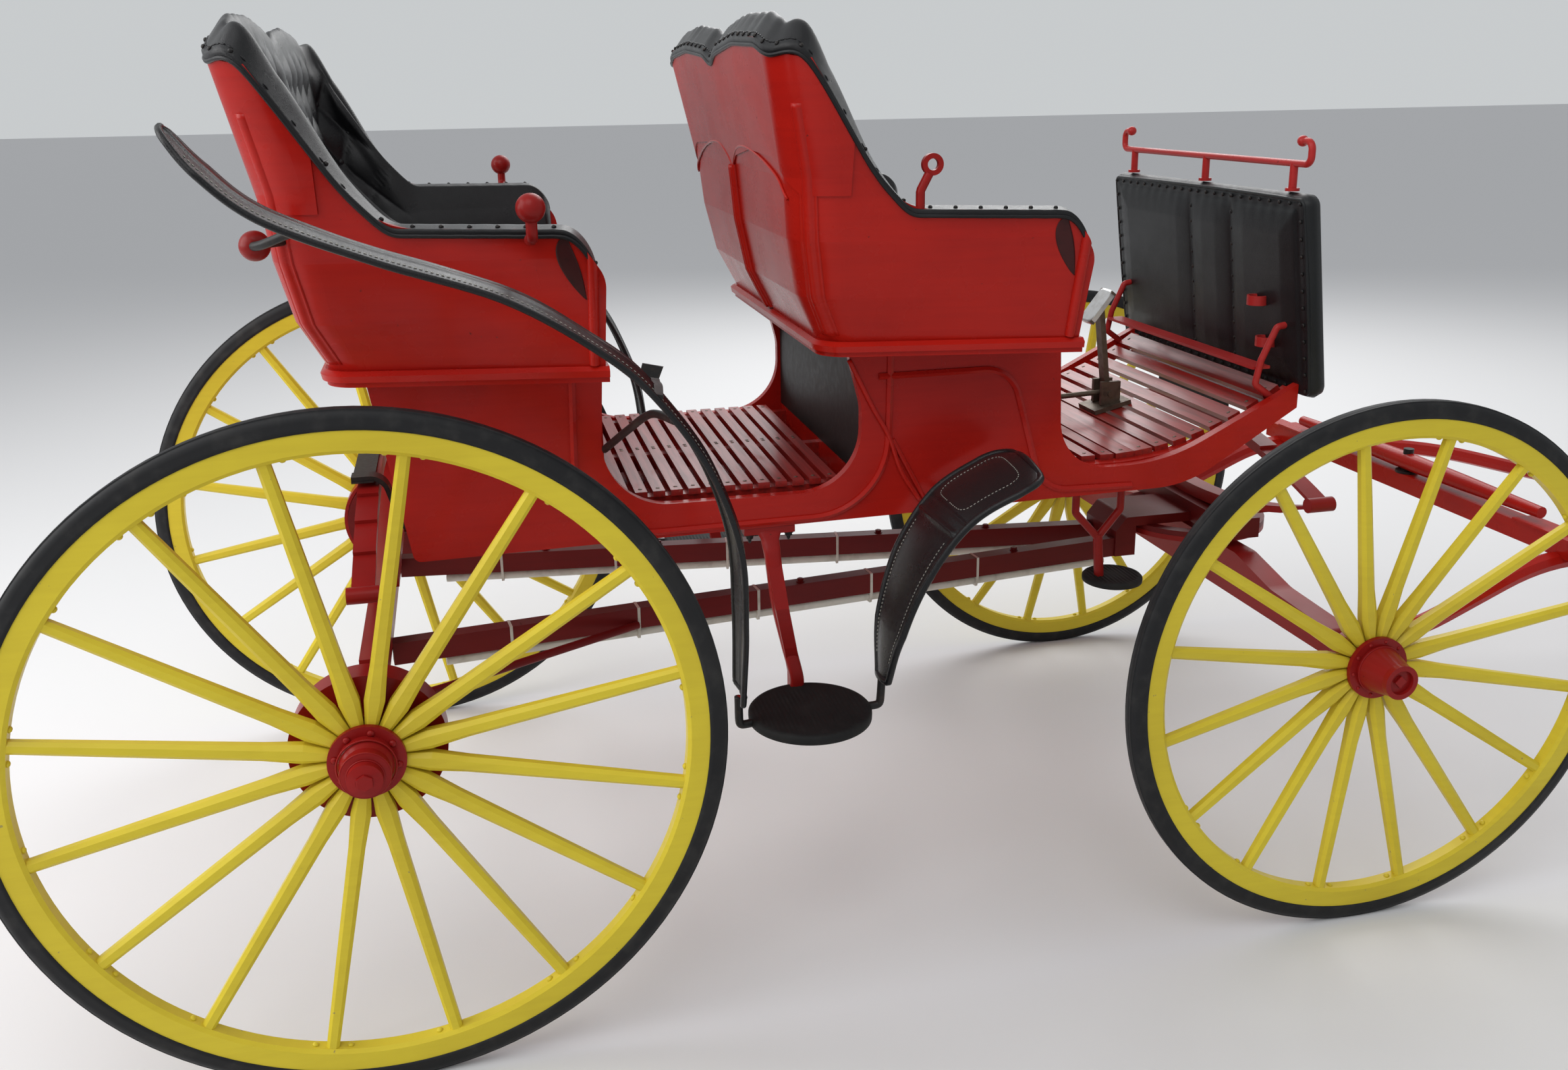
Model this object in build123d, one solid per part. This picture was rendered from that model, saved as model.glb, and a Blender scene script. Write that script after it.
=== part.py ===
from build123d import *
from math import asin, atan2, cos, degrees, hypot, radians, sin, sqrt, tan
import os

# Two-seat horse-drawn carriage, in millimetres: +X forward, +Y to its left, +Z up.
# Everything is drawn from the floor point under the middle of the rear axle, and write()
# then moves it so that the origin lies on the floor under the middle of the whole length.

# Driving dimensions
track = 1422
wheelbase = 1856
rear_wheel_r = 586
front_wheel_r = 528
shaft_reach = 2344
body_half_w = 360
panel_t = 20
floor_z = 868
body_low_z = 797
seat_z = 1140
rail_h = 28
rear_seat_x = -30
front_seat_x = wheelbase - 1018
seat_depth = 470
seat_back_h = 520
arm_h = 245

wheel_y = track / 2
shaft_tip_x = wheelbase + shaft_reach
origin_x = (shaft_tip_x - rear_wheel_r) / 2


def write(name, *pieces):
    solids = []
    for piece in pieces:
        solids += piece.solids()
    export_step(Pos(-origin_x, 0, 0) * Compound(children=solids), f"parts/{name}.step")


def rounded(rows, closed):
    # straight edges joined by arcs; each row ends with its corner radius
    count = len(rows)
    points = [Vector(*row[:-1]) for row in rows]
    entry, middle, leave = [], [], []
    for i, here in enumerate(points):
        r = rows[i][-1]
        back = 0
        toward = Vector(0, 0)
        if r:
            before = (points[i - 1] - here).normalized()
            after = (points[(i + 1) % count] - here).normalized()
            half = radians(before.get_angle(after)) / 2
            back = r / tan(half)
            toward = (before + after).normalized() * (r / sin(half) - r)
        entry.append(here + before * back if r else here)
        leave.append(here + after * back if r else here)
        middle.append(here + toward)
    edges = []
    for i in range(count if closed else count - 1):
        if rows[i][-1]:
            edges.append(ThreePointArc(entry[i], middle[i], leave[i]))
        start, end = leave[i], entry[(i + 1) % count]
        if (end - start).length > 0.01:
            edges.append(Line(start, end))
    return edges


def profile(corners):
    # closed outline from (u, v, corner radius) rows
    return make_face(rounded(corners, True))


def slab_xz(corners, low_y, high_y):
    face = Plane.XZ * profile(corners)
    return Pos(0, low_y, 0) * extrude(face, amount=high_y - low_y, dir=(0, 1, 0))


def slab_yz(corners, low_x, high_x):
    face = Plane.YZ * profile(corners)
    return Pos(low_x, 0, 0) * extrude(face, amount=high_x - low_x, dir=(1, 0, 0))


def slab_xy(corners, low_z, high_z):
    return Pos(0, 0, low_z) * extrude(profile(corners), amount=high_z - low_z, dir=(0, 0, 1))


def block(low, high):
    size = [b - a for a, b in zip(low, high)]
    middle = [(a + b) / 2 for a, b in zip(low, high)]
    return Pos(*middle) * Box(*size)


def rod(points, radius, bend=0):
    path = FilletPolyline(*points, radius=bend) if bend else Polyline(*points)
    start = Plane(path @ 0, z_dir=path % 0)
    return sweep(start * Circle(radius), path=path, transition=Transition.RIGHT)


def flat_bar(points, width, thick, across=(0, 1, 0), bend=0):
    # bar of rectangular section along a path, its width lying along the direction "across"
    path = FilletPolyline(*points, radius=bend) if bend else Polyline(*points)
    start = Plane(path @ 0, x_dir=across, z_dir=path % 0)
    return sweep(start * Rectangle(width, thick), path=path, transition=Transition.RIGHT)


def both_sides(shape):
    return shape.solids() + mirror(shape, about=Plane.XZ).solids()


def turned(half_outline, centre):
    # revolves (radius, y) rows about the wheel axis through centre, y counted from it
    face = profile([(r, y, 0) for r, y in half_outline])
    solid = revolve(face, Axis.Y)
    return Pos(*centre) * solid


# Wheels: dished spokes, felloe, rubber tyre, and a hub that stands out past the spokes
tyre_w = 32
tread_w = 18
tyre_h = 31
rim_h = 38
rim_w = 30
dish = 34
spoke_count = 16
hub_flange_r = 62
hub_seat_r = 56
nose_out = 58
drum_r = 127
spindle_r = 14
spindle_bore_r = 14.1


def tyre(radius, centre):
    # solid rubber, narrower at the tread than where it sits on the felloe
    half, tread_half = tyre_w / 2, tread_w / 2
    rows = [(radius - tyre_h, -half), (radius - tyre_h, half), (radius, tread_half), (radius, -tread_half)]
    return turned(rows, centre)


def felloe(radius):
    outer = radius - tyre_h
    half = rim_w / 2
    rows = [(outer - rim_h, -half + 5), (outer - rim_h, half - 5), (outer - rim_h + 6, half),
            (outer, half), (outer, -half), (outer - rim_h + 6, -half)]
    return turned(rows, (0, 0, 0))


def spoke(radius, outward):
    # eight-sided loft: wedge at the hub, swelling to a flat paddle, then a tapering oval
    stations = [
        # distance from the axle, width round the wheel, thickness along the axle, share of dish
        (hub_seat_r, 21, 29, 1.00),
        (100, 33, 28, 0.93),
        (160, 27, 25, 0.82),
        (radius - tyre_h - rim_h + 4, 21, 20, 0.00),
    ]
    sections = []
    for distance, wide, thick, share in stations:
        chamfered = [(wide / 2 - wide / 4, thick / 2), (wide / 2, thick / 4)]
        ring = chamfered + [(u, -v) for u, v in reversed(chamfered)]
        ring += [(-u, -v) for u, v in chamfered] + [(-u, v) for u, v in reversed(chamfered)]
        plane = Plane((0, -outward * dish * share, distance), x_dir=(1, 0, 0), z_dir=(0, 0, 1))
        sections.append(plane * make_face(Polyline(*ring, close=True)))
    return loft(sections, ruled=True)


def wheel_wood(radius, centre, outward):
    one = spoke(radius, outward)
    wood = felloe(radius)
    for i in range(spoke_count):
        wood += Rot(0, 360 / spoke_count * (i + 0.5), 0) * one
    return Pos(*centre) * wood


def hub(centre, outward, rear):
    # barrel from the back of the spokes to the nose, counted outward from the tyre's middle
    seat_in, seat_out = -dish - 15, -dish + 15
    if rear:
        nose = [(46, seat_out + 20), (38, seat_out + 34), (38, nose_out - 22), (28, nose_out - 20),
                (28, nose_out - 4), (14, nose_out)]
        back = [(drum_r, seat_in - 12), (drum_r, seat_in - 62), (drum_r - 8, seat_in - 62),
                (drum_r - 8, seat_in - 20), (42, seat_in - 20), (42, seat_in - 40),
                (spindle_bore_r, seat_in - 40)]
    else:
        nose = [(46, seat_out + 14), (34, nose_out - 12), (34, nose_out), (24, nose_out),
                (24, nose_out - 8), (14, nose_out - 8)]
        back = [(44, seat_in - 12), (36, seat_in - 62), (spindle_bore_r, seat_in - 62)]
    rows = [(spindle_bore_r, nose_out - 26), (0, nose_out - 26), (0, nose[-1][1])]
    rows += [(14, nose[-1][1])] if nose[-1][0] > 14 else []
    rows += [nose[-1]] + nose[-2::-1]
    rows += [(46, seat_out + 9), (hub_flange_r, seat_out + 9), (hub_flange_r, seat_out), (hub_seat_r, seat_out),
             (hub_seat_r, seat_in), (hub_flange_r, seat_in), (hub_flange_r, seat_in - 12)]
    rows += back
    return Pos(*centre) * revolve(profile([(r, outward * y, 0) for r, y in rows]), Axis.Y)


def build_wheels():
    for end, x, radius in (("rear", 0, rear_wheel_r), ("front", wheelbase, front_wheel_r)):
        for side, outward in (("right", -1), ("left", 1)):
            centre = (x, outward * wheel_y, radius)
            write(f"{end}_{side}_tyre", tyre(radius, centre))
            write(f"{end}_{side}_spokes", wheel_wood(radius, centre, outward))
            write(f"{end}_{side}_hub", hub(centre, outward, end == "rear"))


# Body: two side panels with raised mouldings, boards between them
well_front_x = front_seat_x + 90
well_rear_x = rear_seat_x + seat_depth - 15
riser_x = front_seat_x + seat_depth + 30
sill_end_x = wheelbase + 10.2
rise_end_x = sill_end_x - 289.2
low_front_x = wheelbase - 230
low_rear_x = 84
bead_r = 7
inner_half = body_half_w - panel_t


def side_panel():
    corners = [
        # x, z, corner radius
        (low_rear_x - 56, seat_z, 0), (low_rear_x, body_low_z, 15), (low_front_x, body_low_z + 18, 250),
        (sill_end_x, 962, 0), (sill_end_x, 1011, 0), (rise_end_x, floor_z, 385), (riser_x + 6, floor_z, 105),
        (riser_x - 5, seat_z, 0), (well_front_x - 28, seat_z, 0), (well_front_x, 1030, 100),
        (well_front_x, floor_z - 2, 118),
        (well_rear_x, floor_z, 125), (well_rear_x + 15, seat_z, 0),
    ]
    panel = slab_xz(corners, -body_half_w, -inner_half)
    skin = -body_half_w
    beads = [
        ([(well_front_x + 57, 1128), (well_front_x + 50, 817), (well_rear_x - 49, 814),
          (well_rear_x - 41, 1128)], 150),
        ([(well_front_x + 34, 1086), (riser_x - 106, 1086), (riser_x - 35, 831), (riser_x + 162, 826)], 75),
    ]
    for points, bend in beads:
        path = FilletPolyline(*[(x, skin, z) for x, z in points], radius=bend)
        section = Plane(path @ 0, x_dir=(0, 1, 0), z_dir=path % 0) * RegularPolygon(bead_r, 6)
        panel += sweep(section, path=path)
    panel += rod([(well_front_x + 62, skin, 960), (well_front_x + 136, skin, 820)], 5)
    return panel


board_rear_x = low_rear_x + 20
board_front_x = wheelbase - 296
board_t = 14


def board_under(x):
    # underside of the bottom board
    return body_low_z + 3 + 15 * (x - board_rear_x) / (board_front_x - board_rear_x)


def bottom_board():
    ends = board_rear_x, board_front_x
    low = [(x, board_under(x), 0) for x in ends]
    high = [(x, board_under(x) + board_t, 0) for x in reversed(ends)]
    return slab_xz(low + high, -inner_half, inner_half)


def build_body():
    write("body_sides", *both_sides(side_panel()))
    half = inner_half
    low = body_low_z + 3
    rear = slab_xz([(low_rear_x - 54, seat_z, 0), (low_rear_x, low, 0), (board_rear_x, low, 0),
                    (board_rear_x - 54, seat_z, 0)], -half, half)
    boards = [
        rear,
        bottom_board(),
        block((well_rear_x - 4, -half, 836), (well_rear_x + 12, half, seat_z - 18)),
        block((well_front_x + 8, -half, 836), (well_front_x + 24, half, seat_z - 18)),
        block((riser_x - 26, -half, 836), (riser_x - 8, half, seat_z - 18)),
        block((board_rear_x - 56, -half, seat_z - 18), (well_rear_x + 12, half, seat_z)) - rear,
        block((well_front_x - 24, -half, seat_z - 18), (riser_x - 8, half, seat_z)),
        block((board_front_x, -half + bearer_w, 834), (board_front_x + 20, half - bearer_w, floor_z)),
        block((wheelbase - 38, -half + bearer_w, toe_bearer_z - 22),
              (wheelbase + 4, half - bearer_w, toe_bearer_z)),
    ]
    write("body_boards", *boards, *both_sides(floor_bearer()))


# Floor boards: slats across the entry well and up the curved front floor
slat_t = 12
well_slats = 13
front_slats = 12
wide_slats = (3, 4, 11)
rise_start_x = wheelbase - 391
rise_r = 670
slat_half = 318
bearer_w = 30
toe_bearer_z = 960


def floor_height(x):
    # underside of the front floor: level, then an arc rising to the dash
    level = floor_z + 2
    if x < rise_start_x:
        return level
    return level + rise_r - sqrt(rise_r**2 - (x - rise_start_x) ** 2)


def floor_slope(x):
    return asin(max(x - rise_start_x, 0) / rise_r)


def slat_centres():
    first, last = riser_x + 24, wheelbase
    pitch = (last - first) / front_slats
    return pitch, [first + pitch * (i + 0.5) for i in range(front_slats)]


def floor_bearer():
    # ledge along the inside of the body; its top runs along the undersides of the front slats
    _, centres = slat_centres()
    end_x = wheelbase + 6
    top = [(riser_x - 6, floor_z + 2, 0)]
    rising = [x for x in centres if x > rise_start_x]
    lines = [(0, floor_z + 2)]
    lines += [(tan(floor_slope(x)), floor_height(x) - tan(floor_slope(x)) * x) for x in rising]
    for (slope, base), (next_slope, next_base) in zip(lines, lines[1:]):
        x = (base - next_base) / (next_slope - slope)
        top.append((x, slope * x + base, 0))
    top.append((end_x, lines[-1][0] * end_x + lines[-1][1], 0))
    low = [(end_x, 972, 0), (rise_end_x + 13, floor_z - 34, 60), (riser_x - 6, floor_z - 34, 0)]
    return slab_xz(top + low, -inner_half, -inner_half + bearer_w)


def on_front_floor(x, lift):
    # place lying on the slope of the front floor at x, lifted square to it
    return Pos(x, 0, floor_height(x)) * Rot(0, -degrees(floor_slope(x)), 0) * Pos(0, 0, lift)


def build_floor():
    slats = []
    pitch = (well_front_x - well_rear_x - 60) / well_slats
    for i in range(well_slats):
        x = well_rear_x + 30 + pitch * (i + 0.5)
        slats.append(Pos(x, 0, floor_z + 2 + slat_t / 2) * Box(pitch * 0.68, 2 * slat_half, slat_t))
    joists = [block((well_rear_x + 12, y - 12, 836), (well_front_x + 8, y + 12, floor_z + 2))
              for y in (-300, 0, 300)]
    write("well_slats", *slats, *joists)

    pitch, centres = slat_centres()
    boards = []
    for i, x in enumerate(centres):
        wide = pitch * (0.98 if i in wide_slats else 0.72)
        boards.append(on_front_floor(x, slat_t / 2) * Box(wide, 2 * slat_half, slat_t))
    write("front_slats", *boards)


# Seats: a flared shell lofted from curved sections, cut along its arms and double-arched back
shell_t = 16
lining_t = 34
cushion_h = 85
crest_h = 58
seam_h = 330
seam_step = 3
seam_front_x = 24
pilaster_r = 16
pilaster_sunk = 9
bead_back = 26
back_half = 412
front_half = 505
seat_sections = [
    # height above the rail, half-width at the back, half-width at the front, back edge x, corner r
    (0, back_half, front_half, 0, 70),
    (85, 448, 528, -42, 80),
    (190, 482, 560, -64, 90),
    (300, 505, 585, -74, 95),
    (seat_back_h + crest_h + 10, 574, 644, -132, 95),
]


rail_rows = [
    # height in the rail, how far its edge stands out
    (0, 3), (rail_h * 0.35, 10), (rail_h * 0.75, 12), (rail_h, 4),
]

at_rear_seat = Pos(rear_seat_x, 0, seat_z + rail_h)
at_front_seat = Pos(front_seat_x, 0, seat_z + rail_h)


def plan_outline(section, front, inset):
    # horseshoe at one height: flared sides run on to "front", corners rounded, nearly flat back
    _, wide_back, wide_front, back_x, corner = section
    flare = (wide_front - wide_back) / (seat_depth - back_x)
    half_back = wide_back - inset
    half_front = wide_front - inset + flare * (front - seat_depth)
    back, r = back_x + inset, corner - inset
    return profile([(back, -half_back, r), (front, -half_front, 0), (front, half_front, 0),
                    (back, half_back, r)])


def seat_loft(front, inset):
    outlines = [Plane.XY.offset(row[0]) * plan_outline(row, front, inset) for row in seat_sections]
    return loft(outlines, ruled=True)


def above_arms(arm_lift, back_lift):
    # everything in front of and above the line of the arms and back, seen from the side
    top = seat_back_h + 200
    back = seat_back_h + back_lift
    foot = arm_h + 0.165 * (seat_back_h - arm_h) + (arm_lift + back_lift) / 2
    return slab_xz([
        (-400, back + 60, 0), (-110, back + 60, 0), (-62, back - 12, 60), (75, foot, 130),
        (130, arm_h + arm_lift, 110), (seat_depth - 60, arm_h - 8 + arm_lift, 55),
        (seat_depth - 4, arm_h - 90, 60), (seat_depth - 8, -10, 0), (seat_depth + 500, -10, 0),
        (seat_depth + 500, top, 0), (-400, top, 0),
    ], -900, 900)


def above_back(lift):
    # region above the double-arched top of the back
    top, dip, arch = seat_back_h + 300, seat_back_h - 16 + lift, seat_back_h + 14 + lift
    outline = [(-900, top, 0), (-900, dip - 8, 0), (-560, dip - 8, 0), (-430, arch, 90), (-250, arch + 6, 200),
               (-60, arch - 8, 80), (0, dip, 12), (60, arch - 8, 80), (250, arch + 6, 200), (430, arch, 90),
               (560, dip - 8, 0), (900, dip - 8, 0), (900, top, 0)]
    return slab_yz(outline, -400, 0)


def above_seam():
    # the upper half of the back panel, over its double-arched seam
    top, dip = seat_back_h + 300, seam_h - 22
    outline = [(-900, top, 0), (-900, seam_h - 60, 0), (-480, seam_h - 60, 0), (-400, seam_h, 90),
               (-200, seam_h + 8, 200), (-50, seam_h - 10, 60), (0, dip - 12, 8), (50, seam_h - 10, 60),
               (200, seam_h + 8, 200), (400, seam_h, 90), (480, seam_h - 60, 0), (900, seam_h - 60, 0),
               (900, top, 0)]
    return slab_yz(outline, -400, seam_front_x)


def back_mouldings():
    # a pair of beads up the middle of the back and a half-round pilaster at each back corner
    lower = seat_sections[:4]
    beads = [rod([(back_x - 2, y, max(z, 6)) for z, _, _, back_x, _ in lower], 6) for y in (-14, 14)]
    corner_rows = []
    for z, half, _, back_x, corner in lower:
        sunk = (corner - pilaster_sunk) * cos(radians(45))
        corner_rows.append((back_x + corner - sunk, half - corner + sunk, max(z, 6)))
    pilaster = rod(corner_rows, pilaster_r)
    return [*beads, pilaster, mirror(pilaster, about=Plane.XZ)]


def seat_shell():
    outside = seat_loft(seat_depth, 0) + (seat_loft(seat_depth, -seam_step) & above_seam())
    for moulding in back_mouldings():
        outside += moulding
    front_bead = rod([(seat_depth - bead_back, half - 2, max(z, 4)) for z, _, half, _, _ in seat_sections[:4]],
                     bead_r + 2)
    outside += front_bead + mirror(front_bead, about=Plane.XZ)
    shell = outside - seat_loft(seat_depth + 40, shell_t) - block((-400, -900, -100), (900, 900, 0))
    return shell - above_arms(0, 0) - above_back(0)


def seat_lining():
    # padded leather against the inside of the shell; its crest stands well above the back
    lining = seat_loft(seat_depth, shell_t + 0.5) - seat_loft(seat_depth + 40, shell_t + lining_t)
    lining = lining - above_arms(8, crest_h) - above_back(crest_h)
    return lining - block((-400, -900, -1), (900, 900, cushion_h + 1))


def seat_cushion():
    outline = plan_outline(seat_sections[0], seat_depth - 12, shell_t + 3)
    return extrude(outline, amount=cushion_h, dir=(0, 0, 1))


def seat_rail():
    # moulded frame under the shell: its bevelled nose stands out all round over a narrower board
    front = seat_depth - 2

    def board(out):
        return [(-out, -back_half - out, 60), (front, -front_half - out, 0), (front, front_half + out, 0),
                (-out, back_half + out, 60)]

    nose = loft([Plane.XY.offset(z) * profile(board(out)) for z, out in rail_rows[1:]], ruled=True)
    return nose + slab_xy(board(rail_rows[0][1]), rail_rows[0][0], rail_rows[1][0])


def build_seats(shell):
    lining, cushion, rail = seat_lining(), seat_cushion(), seat_rail()
    write("rear_seat_shell", at_rear_seat * shell)
    write("front_seat_shell", at_front_seat * shell)
    write("rear_seat_lining", at_rear_seat * lining)
    write("front_seat_lining", at_front_seat * lining)
    write("seat_cushions", at_rear_seat * cushion, at_front_seat * cushion)
    write("seat_rails", Pos(0, 0, -rail_h) * at_rear_seat * rail, Pos(0, 0, -rail_h) * at_front_seat * rail)


# Dash: padded leather panel with a rail above, whip loops and a toe rail behind it
dash_half = 400
dash_low = (wheelbase + 32, 985)
dash_high = (wheelbase - 22, 1400)
dash_t = 36
dash_rail_z = 1456
dash_post_y = 328
toe_rail_x = wheelbase - 56
toe_rail_z = 1040


def dash_x(z):
    # x of the dash's rear face at height z
    share = (z - dash_low[1]) / (dash_high[1] - dash_low[1])
    return dash_low[0] + (dash_high[0] - dash_low[0]) * share - dash_t / 2


def dash_panel():
    lean = degrees(atan2(dash_low[0] - dash_high[0], dash_high[1] - dash_low[1]))
    tall = hypot(dash_high[0] - dash_low[0], dash_high[1] - dash_low[1])
    middle = ((dash_low[0] + dash_high[0]) / 2, 0, (dash_low[1] + dash_high[1]) / 2)
    board = fillet(Box(dash_t, 2 * dash_half, tall).edges().filter_by(Axis.X), 22)
    return Pos(*middle) * Rot(0, -lean, 0) * board


def build_dash():
    panel = dash_panel()
    write("dash", panel)

    x, z = dash_high[0], dash_rail_z
    end_y = dash_post_y + 20
    rail = rod([(x, -end_y, z), (x, end_y, z)], 7)
    for y in (-dash_post_y, 0, dash_post_y):
        rail += rod([(x, y, dash_high[1] + 4), (x, y, z)], 8)
        rail += Pos(x, y, dash_high[1] + 4.95) * Cylinder(14, 6)
    for side in (-1, 1):
        y = side * end_y
        rail += rod([(x, y, z), (x, y + side * 34, z), (x, y + side * 34, z + 44),
                     (x, y + side * 2, z + 44)], 7, 16)
        rail += Pos(x, y + side * 2, z + 44) * Sphere(11)
    write("dash_rail", rail)

    toe = block((toe_rail_x - 20, -324, toe_rail_z), (toe_rail_x + 20, 324, toe_rail_z + 6))
    for side in (-1, 1):
        y = side * 330
        foot_x = toe_rail_x + 22
        toe += rod([(dash_x(1132) - 1, y, 1132), (dash_x(1132) - 26, y, 1128), (toe_rail_x - 6, y, 1060),
                    (toe_rail_x - 16, y, 1010), (foot_x, y, floor_height(foot_x) + 9)], 7, 10)
    loops = []
    for z, y in ((1172, -250), (1088, -275)):
        face = dash_x(z)
        ring = Pos(face - 20, y, z) * (Cylinder(21, 20) - Cylinder(17, 30))
        loops.append(ring + block((face - 8, y - 40, z - 8), (face + 2, y - 18, z + 8)) - panel)
    write("toe_rail", toe, *loops)


# Brake pedal on the front floor, with its rod running back under the front seat
pedal_x = wheelbase - 234


def build_pedal():
    base = on_front_floor(pedal_x, slat_t + 6.8) * Box(90, 84, 10)
    base_z = floor_height(pedal_x) + slat_t
    pedal = base
    for y in (-20, 20):
        pedal += block((pedal_x - 26, y - 5, base_z + 8), (pedal_x + 20, y + 5, base_z + 62))
    pedal += flat_bar([(pedal_x - 4, 0, base_z + 30), (pedal_x - 29, 0, base_z + 230)], 26, 12)
    pedal += Pos(pedal_x - 34, 0, base_z + 232) * Rot(0, 38, 0) * Box(12, 54, 84)
    pedal += rod([(pedal_x - 12, 0, base_z + 34), (riser_x - 6, 0, base_z + 22)], 6)
    pedal += Pos(pedal_x - 4, 0, base_z + 34) * Cylinder(7, 56, rotation=(90, 0, 0))
    write("brake_pedal", pedal)


# Steps and mudguards
step_c = (well_front_x - 148, 520, 486)
step_r = 114
step_t = 16
step_iron_t = 16
small_step_c = (wheelbase - 366, 320, 612)
small_step_r = 60


def entry_step():
    # tapering iron from a plate under the body to the pad's inner rim, then flat under the pad
    x, y, z = step_c
    wall, low = -body_half_w, 800
    rim_y = -y + step_r + step_iron_t / 2
    sections = [
        # x, y, z of the iron's middle, its width
        (x - 35, wall + 14, low, 50), (x - 35, wall + 4, low - 18, 30), (x - 34, wall - 14, low - 50, 28),
        (x - 28, rim_y - 20, low - 140, 26), (x - 12, rim_y - 14, z + 90, 25), (x, rim_y, z + 30, 24),
        (x, rim_y, z - step_t / 2, 24),
    ]
    iron = loft([Plane((px, py, pz), x_dir=(1, 0, 0), z_dir=(0, 0, -1)) * Rectangle(width, step_iron_t)
                 for px, py, pz, width in sections], ruled=True)
    step = Pos(x, -y, z) * Cylinder(step_r, step_t)
    under = z - step_t / 2
    step += iron + block((x - 12, -y - step_r / 2, under - 8), (x + 12, rim_y + step_iron_t / 2, under))
    step += block((x - 85, wall + 2, low - 10), (x + 15, wall + 26, low + 4))
    step -= side_panel()
    step += rod([(x - step_r + 4, -y - 10, z), (x - step_r - 24, -y - 16, z),
                 (x - step_r - 26, -y - 20, z + 60)], 6, 12)
    step += rod([(x + step_r - 4, -y, z), (x + step_r + 22, -y, z), (x + step_r + 26, -y, z + 53.5)], 6, 12)
    return step


def small_step():
    x, y, z = small_step_c
    step = Pos(x, -y, z) * Cylinder(small_step_r, 12)
    step += rod([(x - 30, -y, z), (x - 38, -y, z + 100)], 10)
    for dx in (-90, 10):
        top = board_under(x + dx - 8) - 0.1
        step += rod([(x - 38, -y, z + 92), (x + dx, -y, z + 150), (x + dx, -y, top)], 8, 14)
    return step


def build_steps():
    write("steps", *both_sides(entry_step()), *both_sides(small_step()))


def strip(stations, thick):
    # curved guard lofted across its length
    sections = []
    for x, y, z, width, slope in stations:
        plane = Plane((x, y, z), x_dir=(0, 1, 0), z_dir=(cos(radians(slope)), 0, sin(radians(slope))))
        sections.append(plane * Rectangle(width, thick))
    return loft(sections, ruled=True)


guard_t = 8
guard_rim_r = 5
rear_guard_rows = [
    # x, distance inside the wheel's middle, z, width, slope in degrees
    (-185, 21, 1580, 60, -66), (-140, 21, 1520, 112, -50), (-60, 21, 1452, 118, -33),
    (90, 21, 1388, 118, -18), (265, 21, 1325, 118, -24), (400, 23, 1240, 118, -40),
    (485, 27, 1160, 116, -52), (570, 41, 1030, 112, -63), (622, 71, 880, 106, -80),
    (636, 111, 720, 96, -90), (640, 155, 560, 70, -90),
]
splash_guard_rows = [
    # x behind the front axle, then as above
    (-651, 201, 935, 210, -150), (-706, 206, 915, 218, -160), (-796, 211, 862, 205, -136),
    (-871, 209, 762, 185, -114), (-918, 201, 640, 140, -102), (-934, 193, 540, 60, -95),
]


def guard_sheet(rows, axle_x):
    places = [(axle_x + x, inset - wheel_y, z, width, slope) for x, inset, z, width, slope in rows]
    sheet = strip(places, guard_t)
    for side in (-1, 1):
        edge = [(x, y + side * width / 2, z) for x, y, z, width, _ in places]
        sheet += rod(edge, guard_rim_r)
    return sheet


def splash_guard():
    # its upper end is held by an iron from the body's side
    guard = guard_sheet(splash_guard_rows, wheelbase)
    x, inset, z, _, _ = splash_guard_rows[2]
    iron = rod([(wheelbase + x + 40, -body_half_w + 8, z - 20), (wheelbase + x + 20, -body_half_w - 60, z - 10),
                (wheelbase + x, inset - wheel_y + 30, z)], 7, 30)
    return guard + iron - side_panel()


def build_guards(shell):
    guard = guard_sheet(rear_guard_rows, 0)
    inner_y = 66 - wheel_y
    guard += rod([(-67, -464, 1395), (-98, -560, 1398), (-20, inner_y, 1432)], 8, 20) - at_rear_seat * shell
    guard += Pos(-98, -560, 1398) * Sphere(24)
    guard += rod([(437, -body_half_w + 8, 981), (505, -560, 1090), (527, inner_y, 1098)], 8, 20) - side_panel()
    write("rear_guards", *both_sides(guard))
    write("splash_guards", *both_sides(splash_guard()))


# Arm irons: ball knobs on the rear seat, eyes on the front one
knob_x = rear_seat_x + 346
eye_x = front_seat_x + 168
eye_y = 518.5


def build_arm_irons(shell):
    top = seat_z + rail_h + arm_h
    rear_shell, front_shell = at_rear_seat * shell, at_front_seat * shell
    irons = []
    for side in (-1, 1):
        arm = rod([(knob_x, side * 543, top - 24), (knob_x, side * 636, top - 14),
                   (knob_x, side * 640, top + 34)], 9, 16)
        irons.append(arm - rear_shell + Pos(knob_x, side * 640, top + 34) * Sphere(23))
        y = side * eye_y
        eye = rod([(eye_x - 21, y, top - 3), (eye_x - 21, y, top + 30), (eye_x - 6, y, top + 58)], 8, 8)
        ring = Rot(90, 0, 0) * (Cylinder(19, 10) - Cylinder(10, 12))
        irons.append(eye - front_shell + Pos(eye_x, y, top + 74) * ring)
    write("arm_irons", *irons)


# Running gear: axles, springs, reaches
spring_half = wheel_y - 233
spring_rise = 84
leaf_w = 40
leaf_t = 7
leaf_shares = (1.0, 0.8, 0.6, 0.4)
eye_z = 788
spring_foot_z = eye_z - spring_rise - leaf_t * len(leaf_shares)
spring_top_z = eye_z + spring_rise + leaf_t * len(leaf_shares)
reach_z = 582
reach_w = 34
reach_h = 44
conduit_r = 11
reach_end_x = wheelbase - 234.2
spindle_root = wheel_y - dish - 15 - 65


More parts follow.
